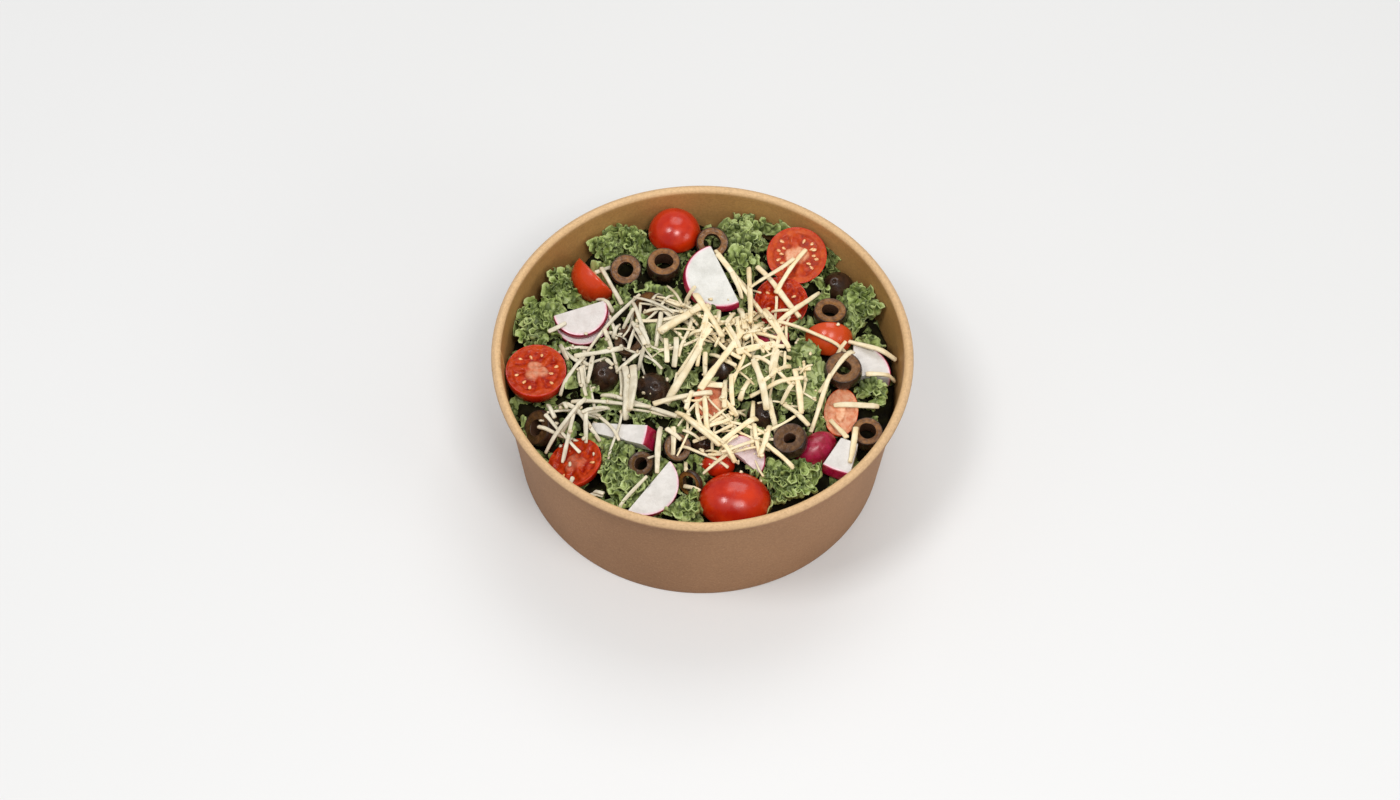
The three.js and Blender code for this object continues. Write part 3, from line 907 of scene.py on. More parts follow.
# How each cut tomato looks: chambers, turn of the chambers in degrees, seeds in each chamber,
# how pale its flesh is, and how much jelly is smeared over the rest. The halves that lie skin
# up are plain.
PLAIN = (2, 0, 4, 0.0, 0.0)
tomato_looks = {
    "tomato_half_2": (2, 100, 8, 0.05, 0.15), "tomato_half_4": (3, 20, 3, 0.0, 0.5),
    "tomato_half_5": (3, 50, 1, 0.0, 0.8), "tomato_half_7": (2, 30, 2, 0.0, 1.0),
    "tomato_half_8": (2, 80, 0, 0.75, 0.0), "tomato_half_3": (2, 60, 5, 0.3, 0.0),
}
worst = 0
for node in nodes_named("tomato_half"):
    chambers, turn_degrees, seeds, pale, smeared = tomato_looks.get(node, PLAIN)
    turn = math.radians(turn_degrees)
    lie_of = lies[node]
    rings, is_flesh, traits, edge = half_fruit(
        lie_of.corners, lambda across, angle: tomato_inside(across, angle, chambers, turn))
    # where the jelly is smeared about, the face is wet pulp
    rings[DOME_ROWS + 2:, :, 2] += lumps(rings[DOME_ROWS + 2:], 3.2, 0.1 + 0.5 * smeared)
    rings[1:DOME_ROWS - 1] += lumps(rings[1:DOME_ROWS - 1], 16, 0.08)[..., None] * (0, 0, 1)
    traits["jelly"] = np.maximum(traits["jelly"], smeared)
    tomato = Gather("jelly", "core", "tone")
    points, *faces = skin_over(lie_of.world(rings))
    tomato.add(points, *faces, finish=is_flesh * 1, tone=pale, **traits)
    if node in tomato_looks:
        add_seeds(tomato, lie_of, edge, seed_places(chambers, turn, seeds), SEED_FLOOR)
    cut_tomato = tomato.piece("cut_" + node, "tomato", [tomato_skin, tomato_flesh, tomato_seed], node)
    worst = max(worst, fit_error(cut_tomato, node))
print("tomato halves:", len(nodes_named("tomato_half")), "worst fit", round(worst, 2), "mm")


# %% [markdown]
# ## Quartered fruit
# A quarter has two cut faces that meet in a straight edge, the Y axis. Here the rings are
# slices across that edge: each starts at the edge, runs out over one cut face, round the skin,
# and back over the other.

# %% Quarters
QUARTER_ROWS = 40
CUT_STEPS = 18
SKIN_STEPS = 20


def quarter_rings(corners, chambers, turn):
    """Rings across the straight edge, whether each column is flesh, and the flesh's traits."""
    long, wide, depth = corners[:, 0].max(), np.abs(corners[:, 1]).max(), -corners[:, 2].min()
    sideways = -np.cos(np.linspace(0.12, math.pi - 0.12, QUARTER_ROWS))[:, None]
    size = np.sqrt(1 - sideways ** 2)
    out = np.linspace(0.0, 0.985, CUT_STEPS)[None, :]
    round_skin = np.linspace(0, math.pi / 2, SKIN_STEPS)[None, :]
    back = out[:, :0:-1]
    x_share = np.concatenate([out * size, np.cos(round_skin) * size, 0 * back * size], axis=1)
    z_share = np.concatenate([0 * out * size, np.sin(round_skin) * size, back * size], axis=1)
    y_share = np.broadcast_to(sideways, x_share.shape)
    reach = np.hypot(np.maximum(x_share, z_share), y_share)
    relief, jelly, core = tomato_inside(reach, np.arctan2(y_share, x_share + z_share), chambers, turn)
    column = np.arange(x_share.shape[1])
    is_skin = (column >= CUT_STEPS - 1) & (column < CUT_STEPS + SKIN_STEPS)
    calm = smooth(0.0, 0.25, np.maximum(x_share, z_share)) * smooth(1.0, 0.9, reach)
    relief = relief * calm * ~is_skin
    top, side = column < CUT_STEPS, column >= CUT_STEPS + SKIN_STEPS
    rings = np.stack([x_share * long - relief * side, y_share * wide, -z_share * depth + relief * top], -1)
    return rings, ~is_skin, {"jelly": with_ends(jelly * ~is_skin), "core": with_ends(core * ~is_skin)}


for node, pale in zip(nodes_named("tomato_quarter"), (0.65, 0.45)):
    lie_of = lies[node]
    rings, is_flesh, traits = quarter_rings(lie_of.corners, 2, math.radians(90))
    points, *faces = skin_over(lie_of.world(rings))
    by_face = np.concatenate([np.tile(is_flesh, QUARTER_ROWS - 1), is_flesh, is_flesh])
    tomato = Gather("jelly", "core", "tone")
    tomato.add(points, *faces, finish=by_face * 1, tone=pale, **traits)
    cut_tomato = tomato.piece("cut_" + node, "tomato", [tomato_skin, tomato_flesh], node)
    print_fit(cut_tomato, node)

# %% [markdown]
# ## Olives
# A black olive is nearly black only on its skin. Sliced across, it shows tan-brown flesh with a
# darker rim, and the hole where the stone was punched out, which is never quite round. A ring
# is a rounded section carried round the axis; the end of an olive is a dome with a dimple at
# its tip. The flesh is coloured by how far it is from the hole.

# %% Olive finishes
olive_skin, tree, shader = new_finish("olive_skin")
skin = clouded(tree, 230, 2.6, (30, 18, 12), (66, 43, 29))
wet = damp(tree, 400, 0.16, 0.42)
wrinkles = bumps(tree, 420)
dress(tree, shader, skin, wet, height=wrinkles, depth=0.16,
      Specular_IOR_Level=0.35, Coat_Weight=0.18, Coat_Roughness=0.15)

olive_flesh, tree, shader = new_finish("olive_flesh")
from_hole = trait(tree, "from_hole")
tan = clouded(tree, 520, 2.4, (98, 60, 22), (150, 100, 46))
dark_tan = clouded(tree, 520, 2.4, (60, 38, 22), (92, 64, 36))
tan = blend(tree, trait(tree, "tone"), tan, dark_tan)
tan = blend(tree, ramp(tree, from_hole, 0.82, 1.0), tan, srgb(52, 35, 27))
tan = blend(tree, ramp(tree, from_hole, 0.16, 0.0), tan, srgb(74, 50, 36))
wet = damp(tree, 600, 0.25, 0.5)
fibrous = bumps(tree, 1100)
dress(tree, shader, tan, wet, height=fibrous, depth=0.16,
      Specular_IOR_Level=0.35, Coat_Weight=0.1, Coat_Roughness=0.2)

# %% Olive rings
OLIVE_COLUMNS = 72
darker_rings = {"olive_ring_5": 0.35, "olive_ring_7": 0.8, "olive_ring_9": 0.5, "olive_ring_12": 0.9,
                "olive_ring_8": 0.8, "olive_ring_10": 0.4, "olive_ring_13": 1.0}


def olive_section(radius, bore, height):
    """The ring's section, anticlockwise: skin going up, top face inwards, hole down, bottom out.
    Gives the points, how far each is from the hole, and the first point of each face."""
    half = height / 2
    rise = np.linspace(-1, 1, 11)
    skin = np.stack([radius * (1 - 0.07 * rise ** 2), half * rise * 0.97], -1)
    share = np.array([0.97, 0.9, 0.78, 0.62, 0.46, 0.3, 0.16, 0.06])
    cut = radius * 0.93
    hollow = half - 0.35 * (1 - np.abs(2 * share - 1) ** 2)
    top = np.stack([bore + (cut - bore) * share, hollow], -1)
    hole_rise = np.linspace(0.9, -0.9, 6)
    hole = np.stack([bore * (1 + 0.08 * hole_rise ** 2), half * hole_rise], -1)
    section = np.concatenate([skin, top, hole, top[::-1] * (1, -1)])
    spread = np.concatenate([np.ones(len(skin)), share, np.zeros(len(hole)), share[::-1]])
    return section, spread, len(skin)


for node in nodes_named("olive_ring"):
    lie_of = lies[node]
    reach = np.hypot(lie_of.corners[:, 0], lie_of.corners[:, 1])
    ring_height = np.ptp(lie_of.corners[:, 2])
    section, spread, skin_points = olive_section(reach.max(), reach.min(), ring_height)
    turn = full_turn(OLIVE_COLUMNS)
    near_hole = (1 - spread[:, None]) ** 2
    ragged = wander(turn / (2 * math.pi), 0.42, 5) * near_hole * (spread[:, None] < 1)
    radius = section[:, :1] * (1 - 0.012 * (1 + np.sin(2 * turn + chance.uniform(0, 6)))) + ragged
    rings = turned_about_axis(radius, turn, section[:, 1:])
    rings[..., 2] += lumps(rings, 2.6, 0.08) * (spread[:, None] < 1) * (spread[:, None] > 0)
    olive = Gather("from_hole", "tone")
    faces = grid_faces(len(section), OLIVE_COLUMNS, wrap_rows=True)
    is_flesh = np.repeat((np.arange(len(section)) >= skin_points - 1), OLIVE_COLUMNS) * 1
    olive.add(lie_of.world(rings.reshape(-1, 3)), faces, finish=is_flesh,
              from_hole=np.repeat(spread, OLIVE_COLUMNS), tone=darker_rings.get(node, 0.1))
    olive.piece("cut_" + node, "olive", [olive_skin, olive_flesh], node)
print("olive rings:", len(nodes_named("olive_ring")), "with", len(section), "points in a section")

# %% Olive ends
for node in nodes_named("olive_end"):
    lie_of = lies[node]
    radius = np.hypot(lie_of.corners[:, 0], lie_of.corners[:, 1]).max() / 1.02
    end_height = lie_of.corners[:, 2].max()
    profile = [(0.3, 0.35), (0.6, 0.12), (0.9, 0.02), (0.98, 0.03)]
    rise = np.linspace(0.08, 1, 15)
    profile += [(1.02 * math.cos(share ** 1.25 * 1.36), share) for share in rise]
    profile += [(0.15, 0.985), (0.09, 0.93), (0.04, 0.86)]
    profile = np.array(profile) * (radius, end_height)
    turn = full_turn(OLIVE_COLUMNS)
    girth = profile[:, :1] * (1 + wander(turn / (2 * math.pi), 0.015, 3))
    rings = turned_about_axis(girth, turn, profile[:, 1:])
    points, *faces = skin_over(lie_of.world(rings))
    is_flesh = np.concatenate([np.repeat(np.arange(len(profile) - 1) < 3, OLIVE_COLUMNS),
                               np.repeat([True, False], OLIVE_COLUMNS)]) * 1
    olive = Gather("from_hole", "tone")
    olive.add(points, *faces, finish=is_flesh, from_hole=0.5, tone=0.6)
    cut_olive = olive.piece("cut_" + node, "olive", [olive_skin, olive_flesh], node)
print("olive ends:", len(nodes_named("olive_end")), "last fit", round(fit_error(cut_olive, node), 2), "mm")

# %% [markdown]
# ## Radishes
# A radish is crisp white flesh under a skin no thicker than paper, whose red bleeds a little
# into the flesh beneath. So the finish asks only one thing of the mesh: how deep below the skin
# each point is. Slices and wedges are outlines given thickness, with slightly rounded edges and
# faces that aren't quite flat, because the knife bends in a firm root.

# %% Radish finish
radish, tree, shader = new_finish("radish")
deep = trait(tree, "under_skin")  # mm
white = clouded(tree, 170, 2.0, (200, 198, 190), (220, 218, 211))
pink = clouded(tree, 300, 2.2, (224, 170, 182), (244, 212, 220))
red = clouded(tree, 260, 2.2, (140, 12, 34), (180, 26, 72))
tinted = blend(tree, trait(tree, "tone"), white, pink)
tinted = blend(tree, ramp(tree, deep, 1.7, 0.5), tinted, pink)
coloured = blend(tree, ramp(tree, deep, 0.62, 0.34), tinted, red)
wet = damp(tree, 420, 0.2, 0.42)
crisp = bumps(tree, 800)
dress(tree, shader, coloured, wet, height=crisp, depth=0.09,
      Coat_Weight=0.25, Coat_Roughness=0.2)

# %% Radish slices and wedges
OUTLINE_POINTS = 96


def rounded_outline(corner_points, share):
    """Points evenly along a closed outline, with its corners eased by averaging neighbours."""
    closed = np.concatenate([corner_points, corner_points[:1]])
    length = np.concatenate([[0], np.cumsum(np.linalg.norm(np.diff(closed, axis=0), axis=1))])
    even = np.linspace(0, length[-1], OUTLINE_POINTS, endpoint=False)
    outline = np.stack([np.interp(even, length, closed[:, k]) for k in (0, 1)], -1)
    eased = (np.roll(outline, 1, 0) + np.roll(outline, -1, 0)) / 2
    return outline * (1 - share) + eased * share


def radish_solid(outline, thickness, arc_centre, arc_radius, slant):
    """Rings over a flat slice: under face from its middle, round the edge, top face back in. The
    slant is how many mm the skin comes in from the under face to the top face."""
    half = thickness / 2
    middle = outline.mean(0)
    ease = 0.35  # mm of rounding along the edges
    shares = [0.1, 0.3, 0.5, 0.7, 0.84, 0.93]
    sheets = [(share, 0.0, -half) for share in shares]
    sheets += [(1.0, ease, -half), (1.0, 0.08, -half + 0.1), (1.0, 0.0, -half + ease), (1.0, 0.0, 0.0)]
    sheets += [(share, inset, -rise) for share, inset, rise in sheets[-2::-1]]
    inward = middle - outline
    inward = inward / np.linalg.norm(inward, axis=1, keepdims=True)
    bend = chance.uniform(-0.02, 0.02)
    rings = []
    for share, inset, rise in sheets:
        flat = middle + (outline - middle) * share + inward * inset
        out = flat - arc_centre
        reach = np.linalg.norm(out, axis=1, keepdims=True)
        flat = flat - out / reach * slant * (0.5 + rise / thickness) * (reach / arc_radius) ** 3
        lifted = rise + bend * (flat[:, 0] - middle[0]) * (1 - share)
        rings.append(np.column_stack([flat, np.broadcast_to(lifted, len(flat))]))
    rings = np.array(rings)
    rings[..., 2] += lumps(rings, 9, 0.1) * (np.abs(rings[..., 2]) > half - 0.05)
    skin_in = slant * (0.5 + rings[..., 2] / thickness)
    deep_in = arc_radius - skin_in - np.linalg.norm(rings[..., :2] - arc_centre, axis=-1)
    return rings, deep_in


pinker = {"radish_slice_5": 0.45, "radish_slice_3": 0.15, "radish_slice_4": 0.25, "radish_slice_1": 0.0}
# How much of the skin, in mm, is scrubbed off.
thin_skinned = {"radish_slice_2": 0.3, "radish_slice_3": 0.25, "radish_slice_4": 0.25}
# How many mm the skin comes in over a slice's thickness, where the knife was off the root's middle.
slanted = {"radish_wedge_1": 2.4, "radish_slice_1": 1.0, "radish_wedge_3": 1.2, "radish_slice_3": 0.5}
for node in nodes_named("radish_slice") + nodes_named("radish_wedge"):
    lie_of = lies[node]
    corners = lie_of.corners
    if node.startswith("radish_slice"):
        tip = np.empty((0, 2))
        chord, bulge = np.abs(corners[corners[:, 0] < 0.01, 1]).max(), corners[:, 0].max()
        arc_radius = (chord ** 2 + bulge ** 2) / (2 * bulge)
        arc_centre = np.array([bulge - arc_radius, 0.0])
        half_arc = math.atan2(chord, -arc_centre[0])
    else:
        arc_end = corners[np.argmax(corners[:, 1]), :2]
        blunt_half = corners[corners[:, 0] < 0.01, 1].max()
        half_arc = math.atan2(arc_end[1] - blunt_half, arc_end[0])
        arc_centre = np.array([-blunt_half / math.tan(half_arc), 0.0])
        arc_radius = np.linalg.norm(arc_end - arc_centre)
        tip = np.array([[0.0, blunt_half], [0.0, -blunt_half]])
    angles = np.linspace(-half_arc, half_arc, 60)
    arc = arc_centre + arc_radius * np.stack([np.cos(angles), np.sin(angles)], -1)
    outline = rounded_outline(np.concatenate([arc, tip]), 0.6)
    rings, deep_in = radish_solid(outline, np.ptp(corners[:, 2]), arc_centre, arc_radius,
                                  slanted.get(node, 0.0))
    points, *faces = skin_over(lie_of.world(rings))
    root = Gather("under_skin", "tone")
    root.add(points, *faces, under_skin=with_ends(deep_in) + thin_skinned.get(node, 0.0),
             tone=pinker.get(node, 0.08))
    cut_radish = root.piece("cut_" + node, "radish_flesh", [radish], node)
    print_fit(cut_radish, node)

# %% Radish half
for node in nodes_named("radish_half"):
    lie_of = lies[node]
    rings = half_fruit(lie_of.corners, lambda across, angle: (0 * across * angle,) * 3, dimple=0.2)[0]
    rings[1:DOME_ROWS - 1] += lumps(rings[1:DOME_ROWS - 1], 7, 0.12)[..., None] * (0, 0, 1)
    row = np.arange(len(rings))[:, None]
    deep_in = np.where(row < DOME_ROWS + 1, 0.0, (row - DOME_ROWS) * 0.3) + np.zeros((1, HALF_COLUMNS))
    points, *faces = skin_over(lie_of.world(rings))
    root = Gather("under_skin", "tone")
    root.add(points, *faces, under_skin=with_ends(deep_in), tone=0.1)
    cut_radish = root.piece("cut_" + node, "radish_skin", [radish], node)
    print_fit(cut_radish, node)

# %% [markdown]
# ## Maps of the salad
# Leaves are pressed down by what lies on them, and shreds rest on what is under them. Both need
# to know how high things are at any place. Two maps with half-millimetre cells hold that: the
# lowest and the highest surface of the toppings. They are found by casting rays up and down
# through each topping's mesh.

# %% Height maps
CELL = 0.5
MAP_REACH = 92.0
map_size = int(2 * MAP_REACH / CELL) + 1
topping_under = np.full((map_size, map_size), np.inf)
topping_over = np.full((map_size, map_size), -np.inf)


def cells_at(points):
    """Row and column in the maps of points in mm."""
    cells = np.clip(((points[..., :2] + MAP_REACH) / CELL).round().astype(int), 0, map_size - 1)
    return cells[..., 0], cells[..., 1]


def map_topping(piece):
    tree_of = BVHTree.FromObject(piece, bpy.context.evaluated_depsgraph_get())
    corners = np.array([vertex.co for vertex in piece.data.vertices]) / MM
    low, high = (cells_at(corner) for corner in (corners.min(0), corners.max(0)))
    above, below = (corners[:, 2].max() + 1) * MM, (corners[:, 2].min() - 1) * MM
    for column in range(low[0], high[0] + 1):
        for row in range(low[1], high[1] + 1):
            x, y = (column * CELL - MAP_REACH) * MM, (row * CELL - MAP_REACH) * MM
            hit = tree_of.ray_cast(Vector((x, y, above)), Vector((0, 0, -1)))[0]
            if hit is None:
                continue
            topping_over[column, row] = max(topping_over[column, row], hit.z / MM)
            under = tree_of.ray_cast(Vector((x, y, below)), Vector((0, 0, 1)))[0]
            if under is not None:
                topping_under[column, row] = min(topping_under[column, row], under.z / MM)


def spread_out(height_map, cells, pick):
    """Each cell takes the pick, the lowest or the highest, of the cells round it."""
    spread = height_map
    for shift_x in range(-cells, cells + 1):
        for shift_y in range(-cells, cells + 1):
            if shift_x ** 2 + shift_y ** 2 <= cells ** 2:
                spread = pick(spread, np.roll(height_map, (shift_x, shift_y), (0, 1)))
    return spread


bpy.context.view_layer.update()
for name in lies:
    map_topping(bpy.data.objects["cut_" + name])
map_x, map_y = np.meshgrid(*[np.arange(map_size) * CELL - MAP_REACH] * 2, indexing="ij")
HOLE_TO_CORE = 3.0  # mm from a ring down to the heap's core in its hole, whose painted shade fills the hole
HOLE_TO_LEAF = 14.0
leaf_limit = topping_under.copy()
for name in nodes_named("olive_ring"):  # no leaf shows through the hole of a ring, only the core's painted shade
    corners = lies[name].world(lies[name].corners)
    centre = lies[name].origin
    near = np.hypot(map_x - centre[0], map_y - centre[1]) < 0.9 * np.ptp(corners[:, 0]) / 2
    open_here = near & np.isinf(topping_under)
    topping_under[open_here] = corners[:, 2].min() - HOLE_TO_CORE
    leaf_limit[near] = corners[:, 2].min() - HOLE_TO_LEAF
press_limit = spread_out(leaf_limit, 1, np.minimum)
print("covered by toppings:", round(np.isfinite(topping_under).mean() * 100, 1), "% of the map")

# %% Height of the heap
kale_points = node_points("kale")
kale_reach = np.hypot(kale_points[:, 0], kale_points[:, 1])
reach_steps = np.linspace(5, kale_reach.max() - 2, 9)
heap_steps = np.array([np.percentile(kale_points[np.abs(kale_reach - step) < 6, 2], 88)
                       for step in reach_steps])


def heap_top(x, y):
    """Height of the CAD heap's surface, taken evenly all round."""
    return np.interp(np.hypot(x, y), reach_steps, heap_steps)


print("heap from the middle to the wall:", heap_steps.round(1))

# %% [markdown]
# ## The heart of the heap
# Under the leaves that show lies more kale, which the eye never tells apart. It is one closed
# lump, a little lower than the leaves, with a rough leafy relief. It stays under every topping
# and inside the wall, so it fills the dark gaps between the leaves and nothing else. Its colour
# is nearly black: painted shade for the depth between the leaves.

# %% Core of the heap
CORE_BELOW = 6.0  # mm under the leaves' tops
CORE_COLUMNS = 180
CORE_ROWS = 54
CORE_CLEAR = 1.6  # mm below the toppings
WALL_CLEAR = 1.0  # mm inside the wall
CORE_EDGE_LEVEL = 46  # mm above the table: the top reaches as far out as the wall does there
SIDE_STEPS = (0, 12, 25)  # mm above the heap's foot
floor_height = kale_points[:, 2].min()
turn = full_turn(CORE_COLUMNS)
top_reach = np.linspace(wall_inside(CORE_EDGE_LEVEL) - WALL_CLEAR, 1.5, CORE_ROWS)[:, None]
top = turned_about_axis(top_reach, turn, 0 * top_reach)
leafy = lumps(top, 11, 1.6) + lumps(top, 6, 1.6) + 1.8 * np.abs(lumps(top, 3.4, 1.2))
top[..., 2] = heap_top(top[..., 0], top[..., 1]) - CORE_BELOW + leafy
core_limit = spread_out(topping_under, 3, np.minimum)
top[..., 2] = np.minimum(top[..., 2], core_limit[cells_at(top)] - CORE_CLEAR)
side_heights = floor_height + np.array(SIDE_STEPS)[:, None]
side_reach = wall_inside(side_heights) - WALL_CLEAR
side = turned_about_axis(side_reach, turn, side_heights)
core_points, *core_faces = skin_over(np.concatenate([side, top]))
core = Gather()
core.add(core_points, *core_faces)

# %% [markdown]
# ## Curly kale
# A kale leaf grows faster at its margin than at its ribs. The margin has more length than fits
# along the edge, so it buckles into waves, and the waves into smaller waves. `leaf_grid` does
# the same: it starts with a plain cupped fan, and moves its points along the surface's own
# normal in waves that get shorter and stronger towards the margin. A second movement, sideways
# and twice as often, folds each wave over, so that its top is broad and its sides stand steep.

# %% Ruffled leaf
# Each ruffle: length of its waves, height and sideways fold in mm, and from what share of the
# way to the margin it starts.
RUFFLES = ((7.4, 1.9, 0.8, 0.05), (3.1, 1.0, 0.38, 0.15))
LEAF_THICKNESS = 0.34  # mm


def ruffled(grid, phase, height, fold):
    """The grid with waves across it: out along its normals, and folded along its rows."""
    along = np.gradient(grid, axis=1)
    along = along / np.maximum(np.linalg.norm(along, axis=-1, keepdims=True), 1e-9)
    return (grid + normals_of(grid) * (height * np.sin(phase))[..., None]
            - along * (fold * np.sin(2 * phase))[..., None])


def leaf_grid(reach, sweep, cup, frill=1.0, rows=13, pitch=0.46):
    """A torn piece of leaf, rows from its rib to its margin, columns along the margin, and
    how far each point is up a crest, from 0 to 1. The pitch is in mm along the margin."""
    columns = max(14, int(sweep * reach / pitch))
    share = np.linspace(0, 1, columns)[None, :]
    out = np.linspace(0, 1, rows)[:, None] ** 0.85
    angle = sweep * (share - 0.5)
    radius = reach * (0.14 + 0.86 * out) * (1 + wander(share, 0.2, 4))
    lift = cup * reach * out ** 1.6 * (1 + wander(share, 0.4, 3))
    grid = np.stack([radius * np.cos(angle), radius * np.sin(angle), lift], -1)
    crest = 0.5 + 0 * out * share
    for length, height, fold, start in RUFFLES:
        strength = frill * np.clip((out - start) / (1 - start), 0, 1) * (1 + wander(share, 0.45, 5))
        phase = 2 * math.pi * sweep * reach / length * share + wander(share, 2.2, 4)
        phase = phase + out * wander(share, 3.5, 3)
        grid = ruffled(grid, phase, height * strength, fold * strength)
        crest = crest + 0.28 * strength * np.sin(phase)
    pucker = 2 * math.pi * out * reach / 3.2 + wander(share, 5.0, 9)
    grid = ruffled(grid, pucker, 0.5 * frill * out, 0 * out)
    return grid, np.clip(crest + 0.2 * frill * out * np.sin(pucker), 0, 1)


def closed_sheet(grid, thickness):
    """Points and faces of a sheet with that thickness: upper side, under side, and the rim."""
    rows, columns = grid.shape[:2]
    half = normals_of(grid) * thickness / 2
    points = np.concatenate([(grid + half).reshape(-1, 3), (grid - half).reshape(-1, 3)])
    upper = grid_faces(rows, columns, wrap_columns=False)
    cell = np.arange(rows * columns).reshape(rows, columns)
    rim = np.concatenate([cell[0], cell[1:, -1], cell[-1, -2::-1], cell[-2:0:-1, 0]])
    following = np.roll(rim, -1)
    count = rows * columns
    sides = np.stack([rim + count, following + count, following, rim], -1)
    return points, upper, upper[:, ::-1] + count, sides


print("a leaf's grid:", leaf_grid(9, 4, 0.5)[0].shape)

# %% Lay a leaf
LEAF_CLEARANCE = 0.5  # mm to the wall and to the toppings
TOP_PERCENTILE = 93  # of a leaf's heights: the level of its highest frills
MOSTLY_HIDDEN = 0.72  # share of a leaf under toppings from which it is left out
leaf_over = np.full((map_size, map_size), -np.inf)


def tilt(points, yaw, lean, heading):
    """Points turned by yaw about +Z, then leant by lean towards a heading (all in radians)."""
    turned = Matrix.Rotation(heading, 3, "Z") @ Matrix.Rotation(lean, 3, "Y")
    turned = turned @ Matrix.Rotation(yaw - heading, 3, "Z")
    return points @ np.array(turned).T


def press(grid):
    """Keeps a leaf inside the wall and under the toppings that lie on it."""
    reach = np.maximum(np.hypot(grid[..., 0], grid[..., 1]), 1e-6)
    limit = wall_inside(grid[..., 2]) - LEAF_CLEARANCE
    grid[..., :2] *= np.minimum(1, limit / reach)[..., None]
    grid[..., 2] = np.minimum(grid[..., 2], press_limit[cells_at(grid)] - LEAF_CLEARANCE)
    return grid


def lay_leaf(gather, place, top, reach, sweep, cup, lean, heading, tone, **detail):
    """Adds a leaf whose highest frills come to the top height. Says if enough of it shows."""
    grid, crest = leaf_grid(reach, sweep, cup, **detail)
    grid = tilt(grid, chance.uniform(0, 2 * math.pi), lean, heading)
    grid[..., :2] += np.array(place)[:2] - grid[..., :2].mean((0, 1))
    grid[..., 2] += top - np.percentile(grid[..., 2], TOP_PERCENTILE)
    hidden = press_limit[cells_at(grid)] < grid[..., 2]
    if hidden.mean() > MOSTLY_HIDDEN:
        return False
    grid = press(grid)
    points, *faces = closed_sheet(grid, LEAF_THICKNESS)
    out = np.repeat(np.linspace(0, 1, len(grid)), grid.shape[1])
    gather.add(points, *faces, edge=np.tile(out, 2), crest=np.tile(crest.ravel(), 2), tone=tone)
    np.maximum.at(leaf_over, cells_at(grid), grid[..., 2])
    return True


# %% [markdown]
# ## Bunches that the picture shows
# Between the toppings the frills stand up in bunches. The larger ones are placed where the
# picture has them, by the pixel at their middle. The rest of the heap is filled by dropping
# leaves at random, none too close to another, and a leaf that would hardly show is left out.

# %% Bunches of kale
BUNCH_HEIGHT = 56  # mm above the table, about where the bunches' tops are
# Middle of each bunch in the picture, and its reach in mm.
BUNCHES = (
    (603, 246, 9), (618, 240, 10), (634, 243, 10), (646, 252, 8), (567, 276, 9), (560, 292, 9),
    (527, 318, 9), (536, 330, 10), (543, 308, 9), (552, 322, 9), (531, 341, 7), (735, 233, 10),
    (748, 226, 9), (733, 250, 10), (748, 246, 10), (741, 266, 9), (762, 232, 8), (784, 222, 7),
    (832, 240, 8), (838, 252, 8), (858, 296, 9), (864, 312, 9), (853, 322, 8), (822, 290, 7),
    (646, 352, 9), (660, 344, 10), (676, 352, 9), (690, 340, 9), (703, 330, 8), (716, 322, 8),
    (668, 362, 8), (655, 330, 8), (738, 372, 9), (752, 380, 9), (770, 376, 9), (786, 368, 8),
    (745, 393, 7), (790, 395, 9), (806, 362, 9), (812, 384, 10), (816, 405, 9), (800, 398, 8),
    (640, 418, 7), (612, 410, 7), (575, 372, 7), (582, 385, 7), (604, 446, 8), (616, 456, 9),
    (628, 466, 9), (612, 472, 9), (634, 482, 10), (620, 492, 9), (606, 500, 7), (645, 500, 8),
    (630, 505, 8), (671, 440, 6), (687, 488, 9), (694, 504, 9), (678, 512, 9), (690, 518, 7),
    (768, 470, 9), (782, 478, 9), (796, 470, 9), (790, 492, 9), (775, 498, 8), (806, 484, 8),
    (812, 462, 7), (870, 388, 7), (878, 396, 6), (525, 425, 6), (700, 385, 7), (868, 345, 6),
)
kale_bunches = [Gather("edge", "crest", "tone") for _ in range(5)]


def bunch_for(place):
    """Which of the five bunches of leaves a place belongs to: each is a sector of the bowl."""
    return kale_bunches[int((math.atan2(place[1], place[0]) / (2 * math.pi) + 0.5) * 5) % 5]


def leaf_tone(place):
    """Paler towards the middle of the salad, where the young leaves lie."""
    middle = math.exp(-((place[0] + 2) ** 2 + (place[1] - 4) ** 2) / 45 ** 2)
    return float(np.clip(0.2 + 0.5 * middle + chance.uniform(-0.35, 0.35), 0, 1))


laid = []
for across, down, reach in BUNCHES:
    place = seen_at((across, down), BUNCH_HEIGHT)
    near_wall = smooth(58, 78, math.hypot(place[0], place[1]))
    top = heap_top(place[0], place[1]) + 2.6 + 3.2 * near_wall + chance.uniform(-0.8, 0.8)
    to_middle = math.atan2(-place[1], -place[0])
    lean = 0.45 * near_wall + chance.uniform(0, 0.3)
    heading = to_middle + chance.uniform(-0.7, 0.7)
    tone = leaf_tone(place)
    if lay_leaf(bunch_for(place), place, top, reach * 0.9, chance.uniform(3.6, 5.6),
                chance.uniform(0.45, 0.9), lean, heading, tone):
        laid.append(place[:2])
    if reach >= 9:  # a smaller leaf grows inside it
        lay_leaf(bunch_for(place), place, top + 0.6, reach * 0.5, 5.4, chance.uniform(0.6, 1.0),
                 lean, heading, tone, rows=8)
print("bunches laid:", len(laid), "of", len(BUNCHES))

# %% Flat young leaves
YOUNG_HEIGHT = 58  # mm above the table
YOUNG_TONE = 0.85
